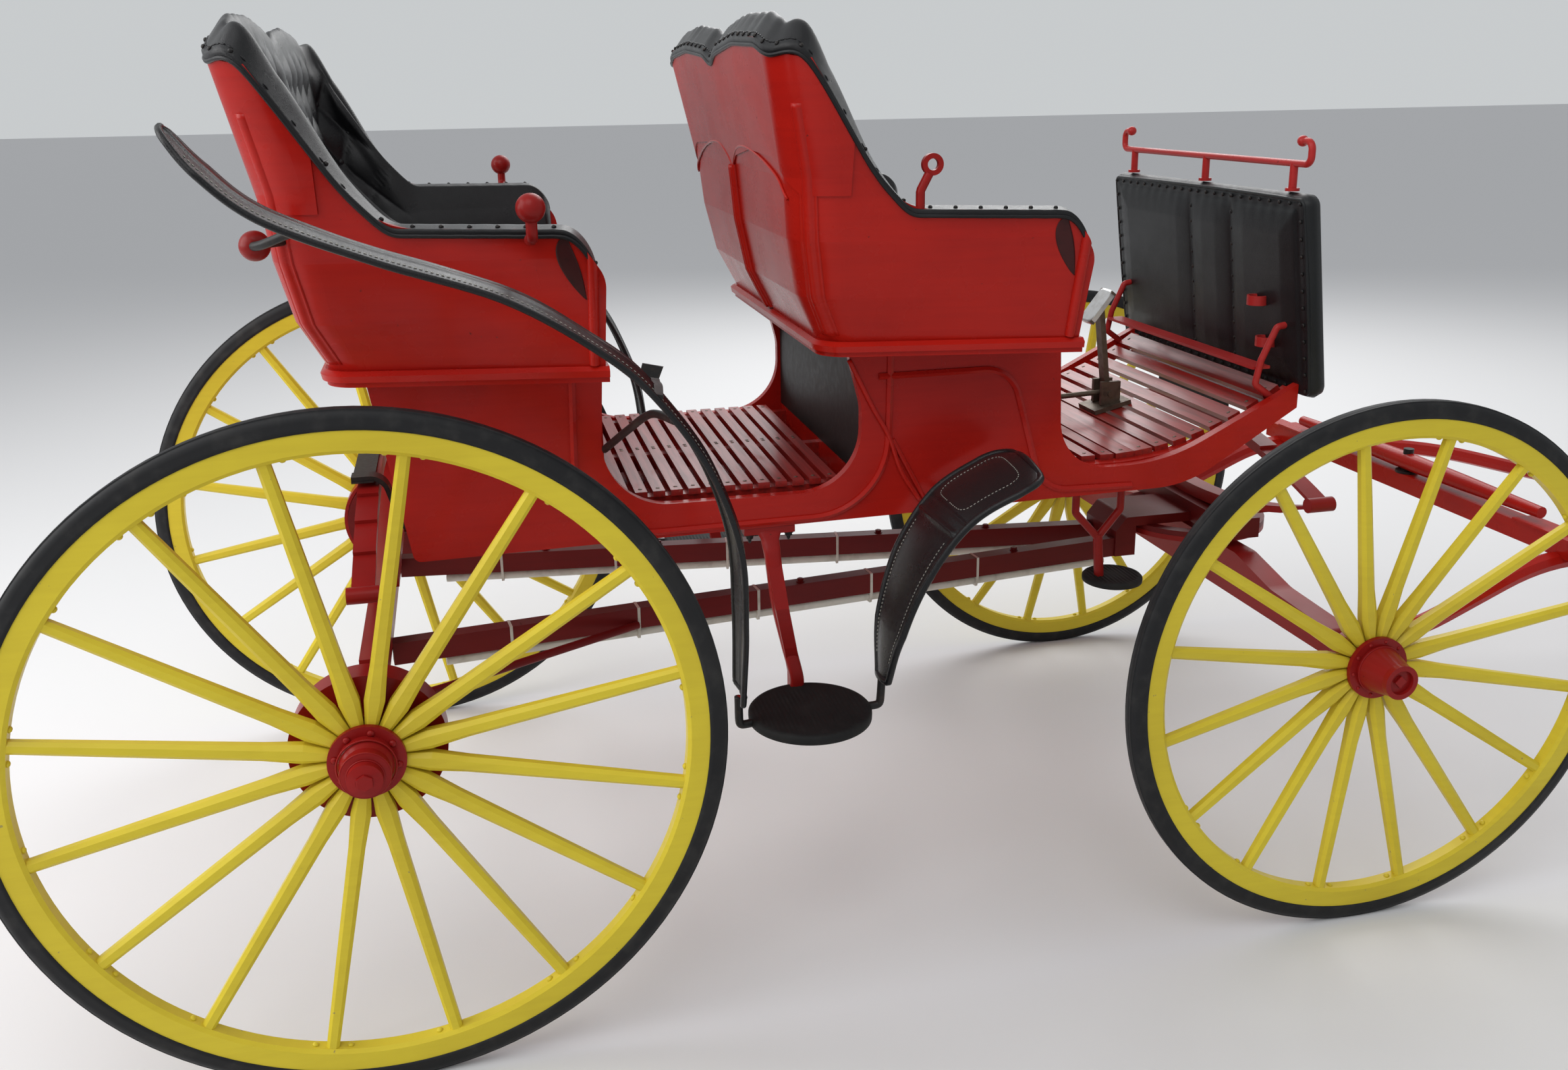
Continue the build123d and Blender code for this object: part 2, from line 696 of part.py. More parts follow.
def leaf_arc(up, half, order):
    # one curved leaf across the carriage; "order" counts outward from the longest leaf
    radius = (spring_half**2 + spring_rise**2) / (2 * spring_rise)
    r_in = radius + order * leaf_t
    r_out = r_in + leaf_t
    centre_z = eye_z + up * (spring_rise - radius)
    reach = half / radius

    def at(r, a):
        return (r * sin(a), centre_z + up * r * cos(a))

    return make_face([
        ThreePointArc(at(r_in, -reach), at(r_in, 0), at(r_in, reach)), Line(at(r_in, reach), at(r_out, reach)),
        ThreePointArc(at(r_out, reach), at(r_out, 0), at(r_out, -reach)),
        Line(at(r_out, -reach), at(r_in, -reach)),
    ])


def elliptic_spring(x):
    spring = Solid()
    for up in (-1, 1):
        for order, share in enumerate(leaf_shares):
            leaf = extrude(Plane.YZ * leaf_arc(up, spring_half * share, order), amount=leaf_w, dir=(1, 0, 0))
            spring = leaf if up == -1 and order == 0 else spring + leaf
    for side in (-1, 1):
        spring += Pos(leaf_w / 2, side * spring_half, eye_z) * Rot(0, 90, 0) * Cylinder(15, leaf_w + 16)
    return Pos(x - leaf_w / 2, 0, 0) * spring


def wheel_axle(x, z, radius):
    # round axle with a thinner spindle inside each hub
    axle = rod([(x, -spindle_root, z), (x, spindle_root, z)], radius)
    tip = wheel_y + nose_out - 28
    return axle + rod([(x, -tip, z), (x, tip, z)], spindle_r)


def build_running_gear():
    write("springs", elliptic_spring(0), elliptic_spring(wheelbase))

    axle = wheel_axle(0, rear_wheel_r, 20)
    for side in (-1, 1):
        axle += Pos(0, side * (spindle_root - 6), rear_wheel_r) * Rot(90, 0, 0) * Cylinder(drum_r - 9, 8)
    bed = block((-24, -430, rear_wheel_r + 14), (24, 430, rear_wheel_r + 62))
    seat = block((-34, -70, rear_wheel_r + 62), (34, 70, spring_foot_z))
    write("rear_axle", axle)
    write("rear_axle_bed", bed - axle + seat)

    reaches, conduits = [], []
    for side in (-1, 1):
        reach = flat_bar([(22, side * 248, reach_z), (reach_end_x, side * 54, reach_z)], reach_w, reach_h)
        low = reach_z - reach_h / 2 - conduit_r - 0.2
        conduits.append(rod([(120, side * 236, low), (reach_end_x - 22, side * 57, low)], conduit_r))
        stay = rod([(18, side * 500, 588), (120, side * 430, 578), (500, side * 212, 570)], 8, 40)
        reaches.append(reach + stay - axle - bed)
    write("reaches", *reaches)
    write("brake_conduits", *conduits)

    loops = []
    for y in (-150, 150):
        loops.append(flat_bar([(330, y, board_under(330) - 4.6), (60, y, board_under(60) - 4.6), (28, y, 908),
                               (-30, y, 908)], 36, 9, bend=34))
    clip = block((-30, -170, spring_top_z), (12, 170, 904))
    front_block = block((wheelbase - 38, -120, spring_top_z), (wheelbase + 4, 120, toe_bearer_z - 22))
    write("body_loops", loops[0] - clip, loops[1] - clip, clip, front_block)


# Front gear: turns about the king pin under the front spring
king_x = wheelbase - 6
ring_r = 170
ring_w = 26
ring_z = 618
ring_t = 12
ring_gap = 0.3
head_z = ring_z + ring_gap + ring_t
king_pin_r = 12


def fifth_ring(low_z):
    ring = Cylinder(ring_r, ring_t) - Cylinder(ring_r - ring_w, ring_t + 2)
    return Pos(king_x, 0, low_z + ring_t / 2) * ring


def build_front_gear():
    head = block((king_x - 40, -220, head_z), (king_x + 46, 220, spring_foot_z))
    ring_back = king_x - ring_r
    tongue_x = reach_end_x + 2.2
    tongue = slab_xz([(tongue_x, reach_z - 22, 0), (ring_back - 6, reach_z - 22, 0), (ring_back - 6, head_z, 0),
                      (king_x - 40, head_z, 0), (king_x - 40, head_z + 22, 0), (tongue_x + 26, head_z + 22, 12),
                      (tongue_x, head_z - 10, 0)], -75, 75)
    pin_hole = Pos(king_x, 0, head_z + 20) * Cylinder(king_pin_r + 0.1, 120)
    write("head_block", head + tongue - pin_hole, fifth_ring(ring_z + ring_gap))

    pin_low, pin_high = ring_z - ring_t, spring_foot_z - 2
    pin = Pos(king_x, 0, (pin_low + pin_high) / 2) * Cylinder(king_pin_r, pin_high - pin_low)
    write("fifth_wheel_ring", fifth_ring(pin_low), pin)
    end = spindle_root - 2
    top = ring_z - ring_t
    bed = slab_yz([(-end, 506, 0), (end, 506, 0), (end, 560, 20), (380, 572, 120), (240, top, 60),
                   (-240, top, 60), (-380, 572, 120), (-end, 560, 20)], wheelbase - 28, wheelbase + 22)
    axle = wheel_axle(wheelbase, front_wheel_r, 18)
    write("front_axle_bed", bed - axle)
    cheeks = []
    for side in (-1, 1):
        for dy in (-27, 27):
            y = side * shaft_half + dy
            cheek = slab_xz([(wheelbase + 6, 494, 0), (shaft_pivot_x + 20, 476, 18),
                             (shaft_pivot_x + 20, 516, 18), (wheelbase + 22, 558, 0)], y - 5, y + 5)
            hole = Pos(shaft_pivot_x, y, shaft_pivot_z) * Rot(90, 0, 0) * Cylinder(pin_r, 14)
            cheeks.append(cheek - hole - axle - bed)
    write("front_axle", axle, *cheeks)


# Shafts: hinged on the front axle, tips resting on the floor
shaft_half = wheel_y - 201
shaft_r = 20
shaft_pivot_x = wheelbase + 78
shaft_pivot_z = 496
pin_r = 8
tip_r = 22
tip_inset = 190
cross_x = shaft_pivot_x + 506
cross_low = 634
cross_high = 676
tree_z = 704
tree_pin_r = 12


shaft_rows = [
    # share of the way from pivot to tip, distance inside the pivot's y, z, bend radius
    (0, 0, shaft_pivot_z, 0), (0.065, 0, 502, 420), (0.203, 0, 636, 420), (0.4305, 40, 578, 1500),
    (0.6533, 130, 445, 1500), (0.8538, 180, 236, 1500), (1, tip_inset, tip_r, 0),
]


def shaft_path(side):
    length = shaft_tip_x - tip_r - shaft_pivot_x
    return Wire(rounded([(shaft_pivot_x + share * length, side * (shaft_half - inset), z, r)
                         for share, inset, z, r in shaft_rows], False))


def tree_outline():
    # half outline of the singletree from end to end: distance along it, radius
    return [(-430, 0), (-430, 13), (-200, 19), (0, 22), (200, 19), (430, 13), (430, 0)]


def build_shafts():
    shafts = []
    for side in (-1, 1):
        path = shaft_path(side)
        shaft = sweep(Plane(path @ 0, z_dir=path % 0) * RegularPolygon(shaft_r, 8), path=path)
        eye = Pos(shaft_pivot_x, side * shaft_half, shaft_pivot_z) * Rot(90, 0, 0)
        shaft += eye * Cylinder(shaft_r, 2 * shaft_r)
        shaft -= eye * Cylinder(pin_r, 3 * shaft_r)
        shaft += Pos(shaft_tip_x - tip_r, side * (shaft_half - tip_inset), tip_r) * Sphere(tip_r)
        shafts.append(shaft)
    write("shafts", *shafts)
    bar = block((cross_x - 24, -560, cross_low), (cross_x + 24, 560, cross_high))
    plates = [block((cross_x - 28, y - 60, cross_high), (cross_x + 28, y + 60, cross_high + 5))
              for y in (-440, 440)]
    write("crossbar", bar - shafts[0] - shafts[1], *plates)
    pins = [Pos(shaft_pivot_x, side * shaft_half, shaft_pivot_z) * Rot(90, 0, 0) * Cylinder(pin_r - 0.1, 76)
            for side in (-1, 1)]
    pivot = Pos(cross_x, 0, 0) * (Pos(0, 0, cross_high + 3) * Cylinder(26, 6)
                                  + Pos(0, 0, cross_high + 30) * Cylinder(tree_pin_r, 60))
    write("shaft_irons", *pins, pivot)
    tree = revolve(profile([(radius, y, 0) for y, radius in tree_outline()]), Axis.Y)
    write("singletree", Pos(cross_x, 0, tree_z) * (tree - Cylinder(tree_pin_r + 0.1, 80)))


os.makedirs("parts", exist_ok=True)
build_wheels()
build_body()
build_floor()
shell = seat_shell()
build_seats(shell)
build_dash()
build_pedal()
build_steps()
build_guards(shell)
build_arm_irons(shell)
build_running_gear()
build_front_gear()
build_shafts()
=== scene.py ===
import math

import bmesh
import bpy
import numpy as np
from mathutils import Matrix, Vector


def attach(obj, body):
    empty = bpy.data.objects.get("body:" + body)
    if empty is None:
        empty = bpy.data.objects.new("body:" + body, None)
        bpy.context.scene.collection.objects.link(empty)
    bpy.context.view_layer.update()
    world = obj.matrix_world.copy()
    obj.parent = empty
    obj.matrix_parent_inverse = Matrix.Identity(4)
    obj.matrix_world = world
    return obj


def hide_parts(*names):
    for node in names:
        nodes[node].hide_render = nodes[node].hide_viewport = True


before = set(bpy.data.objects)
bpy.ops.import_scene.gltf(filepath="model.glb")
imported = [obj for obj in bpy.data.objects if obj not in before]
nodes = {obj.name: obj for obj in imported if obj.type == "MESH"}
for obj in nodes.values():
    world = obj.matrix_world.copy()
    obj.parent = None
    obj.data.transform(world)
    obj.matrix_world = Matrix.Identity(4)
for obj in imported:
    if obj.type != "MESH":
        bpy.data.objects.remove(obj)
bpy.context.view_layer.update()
print("frame loaded:", len(nodes), "nodes")

# places are in metres: x from the middle of the whole length, the rear axle lies at rearX
rearX = -1.807
frontX = rearX + 1.856
wheelY = 0.711
hand = {-1: "Right", 1: "Left"}


# meshes from arrays
def addMesh(name, points, faces, look, body="carriage", slotName=None, smooth=True):
    # closed or open surface in one finish; its faces are turned to point outwards
    mesh = bpy.data.meshes.new(name)
    mesh.from_pydata(np.asarray(points, float).reshape(-1, 3).tolist(), [], faces)
    work = bmesh.new()
    work.from_mesh(mesh)
    bmesh.ops.remove_doubles(work, verts=work.verts, dist=1e-6)
    bmesh.ops.recalc_face_normals(work, faces=work.faces)
    work.to_mesh(mesh)
    work.free()
    if smooth:
        mesh.shade_smooth()
    piece = bpy.data.objects.new(name, mesh)
    bpy.context.scene.collection.objects.link(piece)
    mesh.materials.append(looks[look])
    slotName = slotName or slotOfLook[look]
    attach(piece, body)
    return piece


def unit(vectors):
    # the same directions at length 1
    return vectors / np.linalg.norm(vectors, axis=1, keepdims=True)


def circle(count):
    # evenly spaced angles, once round
    return np.linspace(0, 2 * np.pi, count, endpoint=False)


def roundBox(turn, power):
    # cosine and sine to a power under 1, which draws a circle out to a square with round corners
    return [np.sign(f(turn)) * np.abs(f(turn))**power for f in (np.cos, np.sin)]


def gridFaces(rows, columns, wrapRows=False, wrapColumns=False):
    # quads of a rows x columns grid of points, counted row by row
    r = np.arange(rows if wrapRows else rows - 1)
    c = np.arange(columns if wrapColumns else columns - 1)
    a, b = np.meshgrid(r, c, indexing="ij")
    a, b = a.ravel(), b.ravel()
    up, right = (a + 1) % rows, (b + 1) % columns
    corners = [a * columns + b, a * columns + right, up * columns + right, up * columns + b]
    return np.stack(corners, axis=1).tolist()


def addLoft(name, grid, look, body="carriage", slotName=None, wrapRows=False, smooth=True):
    # grid[row, column] holds rings of points: each row closes on itself, and the rows either close into a
    # loop with wrapRows or are capped at both ends
    rows, columns = grid.shape[:2]
    faces = gridFaces(rows, columns, wrapRows, True)
    if not wrapRows:
        faces += [list(range(columns)), list(range((rows - 1) * columns, rows * columns))]
    return addMesh(name, grid, faces, look, body, slotName, smooth)


def tubeGrid(path, radius, side=(0, 0, 1), sides=12):
    # circle of the given radius carried along a path, square to it, starting as near to side as it can
    path = np.asarray(path, float)
    along = unit(np.gradient(path, axis=0))
    across = np.broadcast_to(np.asarray(side, float), path.shape)
    across = unit(across - along * np.sum(across * along, axis=1, keepdims=True))
    up = np.cross(along, across)
    angle = circle(sides)
    radius = np.broadcast_to(np.asarray(radius, float), (len(path),))[:, None, None]
    ring = np.cos(angle)[None, :, None] * across[:, None] + np.sin(angle)[None, :, None] * up[:, None]
    return path[:, None] + radius * ring


def smoothPath(points, count=40):
    # Catmull-Rom curve through the points, evenly spaced
    points = np.asarray(points, float)
    ends = np.vstack([2 * points[0] - points[1], points, 2 * points[-1] - points[-2]])
    t = np.linspace(0, len(points) - 1, 24 * len(points))
    i = np.minimum(t.astype(int), len(points) - 2)
    f = (t - i)[:, None]
    p0, p1, p2, p3 = (ends[i + k] for k in range(4))
    curve = 0.5 * (2 * p1 + (p2 - p0) * f + (2 * p0 - 5 * p1 + 4 * p2 - p3) * f**2
                   + (3 * p1 - p0 - 3 * p2 + p3) * f**3)
    return resample(curve, count)


def resample(curve, count):
    # the same curve as evenly spaced points, by its arc length
    length = np.concatenate([[0], np.cumsum(np.linalg.norm(np.diff(curve, axis=0), axis=1))])
    where = np.linspace(0, length[-1], count)
    return np.stack([np.interp(where, length, curve[:, k]) for k in range(3)], axis=1)


def ballGrid(low, rings, sides):
    # ball of radius 1, from the latitude low up to its top
    lift, angle = np.linspace(low, np.pi / 2, rings)[:, None], circle(sides)
    flat = np.cos(lift)
    return np.stack(np.broadcast_arrays(flat * np.cos(angle), flat * np.sin(angle), np.sin(lift)), axis=2)


def domeTemplate(rings=4, sides=8):
    # half ball of radius 1 on the plane z = 0
    grid = ballGrid(0, rings, sides)
    points = np.vstack([grid[:-1].reshape(-1, 3), [[0, 0, 1]]])
    top = (rings - 1) * sides
    faces = gridFaces(rings - 1, sides, False, True)
    faces += [[top - sides + i, top - sides + (i + 1) % sides, top] for i in range(sides)]
    faces.append(list(range(sides))[::-1])
    return points, faces


def boltTemplate(sides=6, washer=1.35):
    # bevelled head of radius 1 and height 1 with that many sides, on a round washer, as rows of equal length
    count = 24
    levels = ((washer, 0, count), (washer, 0.2, count), (1.0, 0.2, sides), (1.0, 0.9, sides),
              (0.86, 1.0, sides))
    rows = []
    for radius, lift, corners in levels:
        angle = np.floor(np.arange(count) * corners / count) * 2 * np.pi / corners
        rows.append(np.stack([radius * np.cos(angle), radius * np.sin(angle), np.full(count, lift)], axis=1))
    points = np.vstack(rows)
    faces = gridFaces(len(rows), count, False, True)
    faces += [list(range(count))[::-1], list(range(len(points) - count, len(points)))]
    return points, faces


def scatter(name, template, places, normals, size, look, body="carriage", slotName=None, smooth=True):
    # copies of a small template set on the places, its z axis along each normal, in one mesh
    points, faces = template
    places = np.asarray(places, float).reshape(-1, 3)
    up = unit(np.broadcast_to(np.asarray(normals, float), places.shape))
    side = np.where(np.abs(up[:, :1]) < 0.9, [[1.0, 0, 0]], [[0, 1.0, 0]])
    right = unit(np.cross(side, up))
    basis = np.stack([right, np.cross(up, right), up], axis=1)
    size = np.broadcast_to(np.asarray(size, float), (len(places), 3))
    cloud = places[:, None] + np.einsum("pk,nk,nkj->npj", points, size, basis)
    allFaces = [[v + n * len(points) for v in face] for n in range(len(places)) for face in faces]
    return addMesh(name, cloud, allFaces, look, body, slotName, smooth)


def smoothStep(x, low, high):
    # 0 below low, 1 above high, smooth between
    t = np.clip((x - low) / (high - low), 0, 1)
    return t * t * (3 - 2 * t)


def mirrored(grid):
    # the same shape on the other side of the carriage
    return np.asarray(grid) * [1, -1, 1]


# shader maths
class Shade:
    # one output socket; arithmetic on it adds Math nodes
    def __init__(self, tree, socket):
        self.tree, self.socket = tree, socket

    def math(self, operation, *values):
        # a Math node on the values, in their order
        return addNode(self.tree, "ShaderNodeMath", {"operation": operation}, dict(enumerate(values)))

    def __add__(self, other):
        return self.math("ADD", self, other)

    __radd__ = __add__

    def __sub__(self, other):
        return self.math("SUBTRACT", self, other)

    def __rsub__(self, other):
        return self.math("SUBTRACT", other, self)

    def __mul__(self, other):
        return self.math("MULTIPLY", self, other)

    __rmul__ = __mul__

    def step(self, low, high):
        # 0 below low, 1 above high, smooth between
        return addNode(self.tree, "ShaderNodeMapRange", {"interpolation_type": "SMOOTHSTEP"},
                       {"Value": self, "From Min": low, "From Max": high})


def addNode(tree, kind, settings=None, inputs=None, output=0):
    # any node: its settings first, then the values or links of its sockets; gives one output
    node = tree.nodes.new(kind)
    for key, value in (settings or {}).items():
        setattr(node, key, value)
    for key, value in (inputs or {}).items():
        if isinstance(value, Shade):
            tree.links.new(value.socket, node.inputs[key])
        elif isinstance(value, tuple) and node.inputs[key].type == "RGBA":
            node.inputs[key].default_value = (*value, 1)
        else:
            node.inputs[key].default_value = value
    return Shade(tree, node.outputs[output])


def newMaterial(name):
    # a material, its tree, its shader and the Object coordinates
    material = bpy.data.materials.new(name)
    material.use_nodes = True
    tree = material.node_tree
    return material, tree, tree.nodes["Principled BSDF"], addNode(tree, "ShaderNodeTexCoord", output="Object")


def setShader(tree, shader, **values):
    # fixed values sit on the sockets; varying ones are linked
    for key, value in values.items():
        socket = shader.inputs[key.replace("_", " ")]
        if isinstance(value, Shade):
            tree.links.new(value.socket, socket)
        elif isinstance(value, tuple):
            socket.default_value = (*value, 1)
        else:
            socket.default_value = value


def noise(tree, place, scale, detail=4.0, rough=0.55):
    # soft noise from 0 to 1, scale features per metre
    return addNode(tree, "ShaderNodeTexNoise", None,
                   {"Vector": place, "Scale": scale, "Detail": detail, "Roughness": rough})


def stretch(tree, place, scale):
    # coordinates scaled by axis, so that a pattern runs long where its number is small
    return addNode(tree, "ShaderNodeMapping", None, {"Vector": place, "Scale": scale})


def mixColour(tree, factor, one, other):
    # one where the factor is 0, other where it is 1
    return addNode(tree, "ShaderNodeMix", {"data_type": "RGBA"}, {0: factor, 6: one, 7: other}, output=2)


def bump(tree, height, strength, distance):
    # the normal leaned by the slope of the height
    values = {"Height": height, "Strength": strength, "Distance": distance}
    return addNode(tree, "ShaderNodeBump", None, values)


paints = {
    # colour, its darker patches, what shows where it is chipped, roughness
    "redPaint": ((0.45, 0.013, 0.007), (0.30, 0.008, 0.006), (0.10, 0.012, 0.010), 0.27),
    "yellowPaint": ((0.70, 0.56, 0.040), (0.56, 0.42, 0.030), (0.30, 0.24, 0.10), 0.33),
    "hubRed": ((0.30, 0.010, 0.009), (0.19, 0.007, 0.006), (0.05, 0.012, 0.010), 0.32),
    "ironRed": ((0.30, 0.011, 0.009), (0.17, 0.009, 0.008), (0.045, 0.018, 0.014), 0.36),
    # the iron red darkened as painted shade, for the running gear under the body
    "gearRed": ((0.150, 0.008, 0.008), (0.080, 0.006, 0.006), (0.030, 0.014, 0.012), 0.42),
    "railRed": ((0.44, 0.030, 0.028), (0.30, 0.012, 0.010), (0.05, 0.018, 0.014), 0.33),
}


def paintMaterial(name, colour, shaded, bare, roughness):
    # brushed gloss enamel: soft patches, brush streaks, orange peel, small chips down to what lies below
    material, tree, shader, place = newMaterial(name)
    patch = noise(tree, place, 2.6).step(0.35, 0.7)
    streak = noise(tree, stretch(tree, place, (3.0, 3.0, 46.0)), 2.0, 3.0).step(0.3, 0.75)
    chip = noise(tree, place, 75.0, 3.0).step(0.735, 0.76)
    tone = mixColour(tree, patch * 0.55 + streak * 0.2, colour, shaded)
    tone = mixColour(tree, chip * 0.8, tone, bare)
    peel = noise(tree, place, 150.0, 2.0) * 0.5 + streak * 0.6 - chip * 0.8
    dull = noise(tree, place, 9.0) * 0.2 + chip * 0.3 + (roughness - 0.10)
    setShader(tree, shader, Base_Color=tone, Roughness=dull, Specular_IOR_Level=0.16, Coat_Weight=0.03,
              Coat_Roughness=0.12, Normal=bump(tree, peel, 0.10, 0.0015))
    return material


leathers = {
    # colour, the paler colour of painted sky reflection and dust, roughness, grain cells per metre, crease
    # strength
    "padLeather": ((0.008, 0.008, 0.009), (0.030, 0.030, 0.032), 0.30, 620.0, 0.5),
    "guardLeather": ((0.007, 0.007, 0.008), (0.024, 0.023, 0.023), 0.25, 420.0, 0.9),
    "dashLeather": ((0.009, 0.010, 0.011), (0.022, 0.023, 0.024), 0.34, 520.0, 0.6),
}


def leatherMaterial(name, colour, sheenDustColour, roughness, grain, crease):
    # fine pebbled grain, long soft creases, a painted sky reflection making what faces up paler, and random
    # dusty patches
    material, tree, shader, place = newMaterial(name)
    cells = addNode(tree, "ShaderNodeTexVoronoi", {"feature": "DISTANCE_TO_EDGE"},
                    {"Vector": place, "Scale": grain})
    creases = noise(tree, place, 30.0, 5.0, 0.6)
    folds = noise(tree, stretch(tree, place, (9.0, 3.0, 14.0)), 2.2, 2.0)
    facing = addNode(tree, "ShaderNodeSeparateXYZ", None,
                     {"Vector": addNode(tree, "ShaderNodeNewGeometry", output="Normal")}, output="Z")
    # what faces up is paler as painted reflection of the sky; the random patches are dust
    sheenAndDust = facing.step(0.2, 1.0) * 0.5 + noise(tree, place, 6.0).step(0.45, 0.8) * 0.4
    height = cells.step(0.0, 0.22) * 0.3 + creases * crease + folds * crease
    setShader(tree, shader, Base_Color=mixColour(tree, sheenAndDust, colour, sheenDustColour),
              Roughness=noise(tree, place, 20.0) * 0.22 + sheenAndDust * 0.1 + (roughness - 0.11),
              Specular_IOR_Level=0.24, Coat_Weight=0.04, Coat_Roughness=0.2,
              Normal=bump(tree, height, 0.35, 0.0016))
    return material


slatLook = {"colour": (0.34, 0.016, 0.012), "grain": (0.20, 0.014, 0.011), "worn": (0.42, 0.10, 0.07)}


def slatMaterial():
    # slats varnished dark red, grain along Y, scuffed paler on top
    material, tree, shader, place = newMaterial("slatWood")
    grain = noise(tree, stretch(tree, place, (26.0, 1.6, 26.0)), 4.0, 6.0).step(0.35, 0.7)
    scuff = noise(tree, stretch(tree, place, (5.0, 1.5, 5.0)), 6.0, 5.0).step(0.56, 0.74)
    speck = noise(tree, place, 95.0, 2.0).step(0.70, 0.76)
    colour = mixColour(tree, grain, slatLook["colour"], slatLook["grain"])
    colour = mixColour(tree, scuff * 0.2 + speck * 0.4, colour, slatLook["worn"])
    setShader(tree, shader, Base_Color=colour, Roughness=grain * 0.06 + scuff * 0.14 + 0.30, Coat_Weight=0.22,
              Coat_Roughness=0.16, Specular_IOR_Level=0.3, Normal=bump(tree, grain + speck, 0.10, 0.0006))
    return material


plains = {
    # colour, darker spots, roughness, metallic, spots per metre, bump strength
    "tyreRubber": ((0.011, 0.011, 0.012), (0.035, 0.034, 0.032), 0.58, 0.0, 26.0, 0.25),
    "blackIron": ((0.014, 0.013, 0.013), (0.040, 0.028, 0.022), 0.42, 0.0, 90.0, 0.25),
    "boardBlack": ((0.012, 0.011, 0.011), (0.030, 0.026, 0.024), 0.45, 0.0, 60.0, 0.2),
    # painted shade: the dark of the hollow scoops behind the arms' fronts
    "darkRed": ((0.045, 0.006, 0.006), (0.020, 0.005, 0.005), 0.45, 0.0, 60.0, 0.2),
    "padSteel": ((0.66, 0.66, 0.66), (0.40, 0.38, 0.35), 0.34, 0.75, 40.0, 0.15),
    "darkSteel": ((0.15, 0.115, 0.085), (0.06, 0.042, 0.034), 0.45, 0.6, 55.0, 0.4),
    "conduitPale": ((0.60, 0.57, 0.51), (0.36, 0.32, 0.27), 0.5, 0.0, 30.0, 0.2),
    "padRubber": ((0.010, 0.010, 0.010), (0.022, 0.021, 0.020), 0.7, 0.0, 40.0, 0.2),
    "thread": ((0.42, 0.40, 0.35), (0.22, 0.21, 0.18), 0.7, 0.0, 60.0, 0.1),
}


def plainMaterial(name, colour, spotted, roughness, metallic, grain, strength):
    # one colour with fine spots and broad patches of a darker one, and a bump of the spots
    material, tree, shader, place = newMaterial(name)
    spots = noise(tree, place, grain, 5.0)
    broad = noise(tree, place, grain / 8)
    tone = mixColour(tree, spots.step(0.45, 0.72) * 0.5 + broad.step(0.5, 0.75) * 0.4, colour, spotted)
    setShader(tree, shader, Base_Color=tone, Roughness=spots * 0.2 + (roughness - 0.1), Metallic=metallic,
              Specular_IOR_Level=0.24, Normal=bump(tree, spots, strength, 0.001))
    return material


looks = {name: paintMaterial(name, *values) for name, values in paints.items()}
looks.update({name: leatherMaterial(name, *values) for name, values in leathers.items()})
looks.update({name: plainMaterial(name, *values) for name, values in plains.items()})
looks["slatWood"] = slatMaterial()

slotOfLook = {
    # the material slot of what is made here in each finish
    "redPaint": "red_paint", "darkRed": "red_paint", "boardBlack": "red_paint", "yellowPaint": "yellow_paint",
    "hubRed": "red_iron", "ironRed": "red_iron", "gearRed": "red_iron", "blackIron": "black_iron",
    "padLeather": "black_leather", "guardLeather": "black_leather", "dashLeather": "black_leather",
    "thread": "black_leather", "padRubber": "black_leather", "tyreRubber": "tyre_rubber",
    "darkSteel": "worn_steel", "padSteel": "worn_steel", "conduitPale": "pale_conduit",
}

finishOf = {
    # the end of a node's name, and its finish
    "hub": "hubRed", "spokes": "yellowPaint", "tyre": "tyreRubber", "body_sides": "redPaint",
    "body_boards": "redPaint", "seat_rails": "redPaint", "seat_shell": "redPaint", "lining": "padLeather",
    "cushions": "padLeather", "dash": "dashLeather", "dash_rail": "railRed", "slats": "slatWood",
    "guards": "guardLeather", "steps": "ironRed", "pedal": "darkSteel", "arm_irons": "ironRed",
    "toe_rail": "railRed", "body_loops": "blackIron", "conduits": "conduitPale", "head_block": "gearRed",
    "fifth_wheel_ring": "ironRed", "reaches": "gearRed", "axle": "gearRed", "axle_bed": "ironRed",
    "springs": "ironRed", "shafts": "redPaint", "crossbar": "redPaint", "singletree": "redPaint",
    "shaft_irons": "blackIron",
}
for name, part in nodes.items():
    key = max((k for k in finishOf if name == k or name.endswith(k)), key=len)
    part.data.materials.clear()
    part.data.materials.append(looks[finishOf[key]])
print("finishes done")


# seats: tufted leather linings with a rolled crest, piping, tacks and cushions
seat = {
    "places": {"rear": (rearX - 0.030, 1.168), "front": (rearX + 0.838, 1.168)},
    # the shell's plan at five heights: half its width behind and ahead, the back's place, the corners' radius
    "height": (0.0, 0.085, 0.190, 0.300, 0.588),
    "halfBack": (0.412, 0.448, 0.482, 0.505, 0.574),
    "halfFront": (0.505, 0.528, 0.560, 0.585, 0.644),
    "backX": (0.0, -0.042, -0.064, -0.074, -0.132),
    "corner": (0.070, 0.080, 0.090, 0.095, 0.095),
    "depth": 0.470, "tall": 0.588, "shell": 0.016, "pad": 0.022, "armPad": 0.016, "puff": 0.014,
    "fuller": 0.016,
    # the crest grows from the arms' to the back's between these heights of the edge
    "armCrest": 0.0045, "backCrest": 0.040, "crestFrom": 0.25, "crestTo": 0.44, "foot": 0.070,
    # share of the plan that is covered, where its ends begin to round off, points round, up and over
    "cover": 0.978, "ending": 0.955, "columns": 361, "rows": 62, "overRows": 23, "bunch": 0.92,
    # how far the plain shell's wings stand above the curve through its corners, and between which shares
    "wing": 0.015, "wingIn": (0.445, 0.50), "wingOut": (0.60, 0.67),
    # the lap: its depth, how far the roll ends outside the wall, then shares of the depth and distances out
    "lap": 0.011, "rollOut": 0.0048, "lapRows": ((0.5, 0.0052), (1.0, 0.0045), (1.0, -0.004), (0.4, -0.004)),
    "diamond": (0.112, 0.125), "firstButton": 0.115, "button": 0.008, "pipe": 0.0038, "tackGap": 0.044,
    "tack": 0.0042, "gatherGap": 0.011, "gathered": 0.62,
}
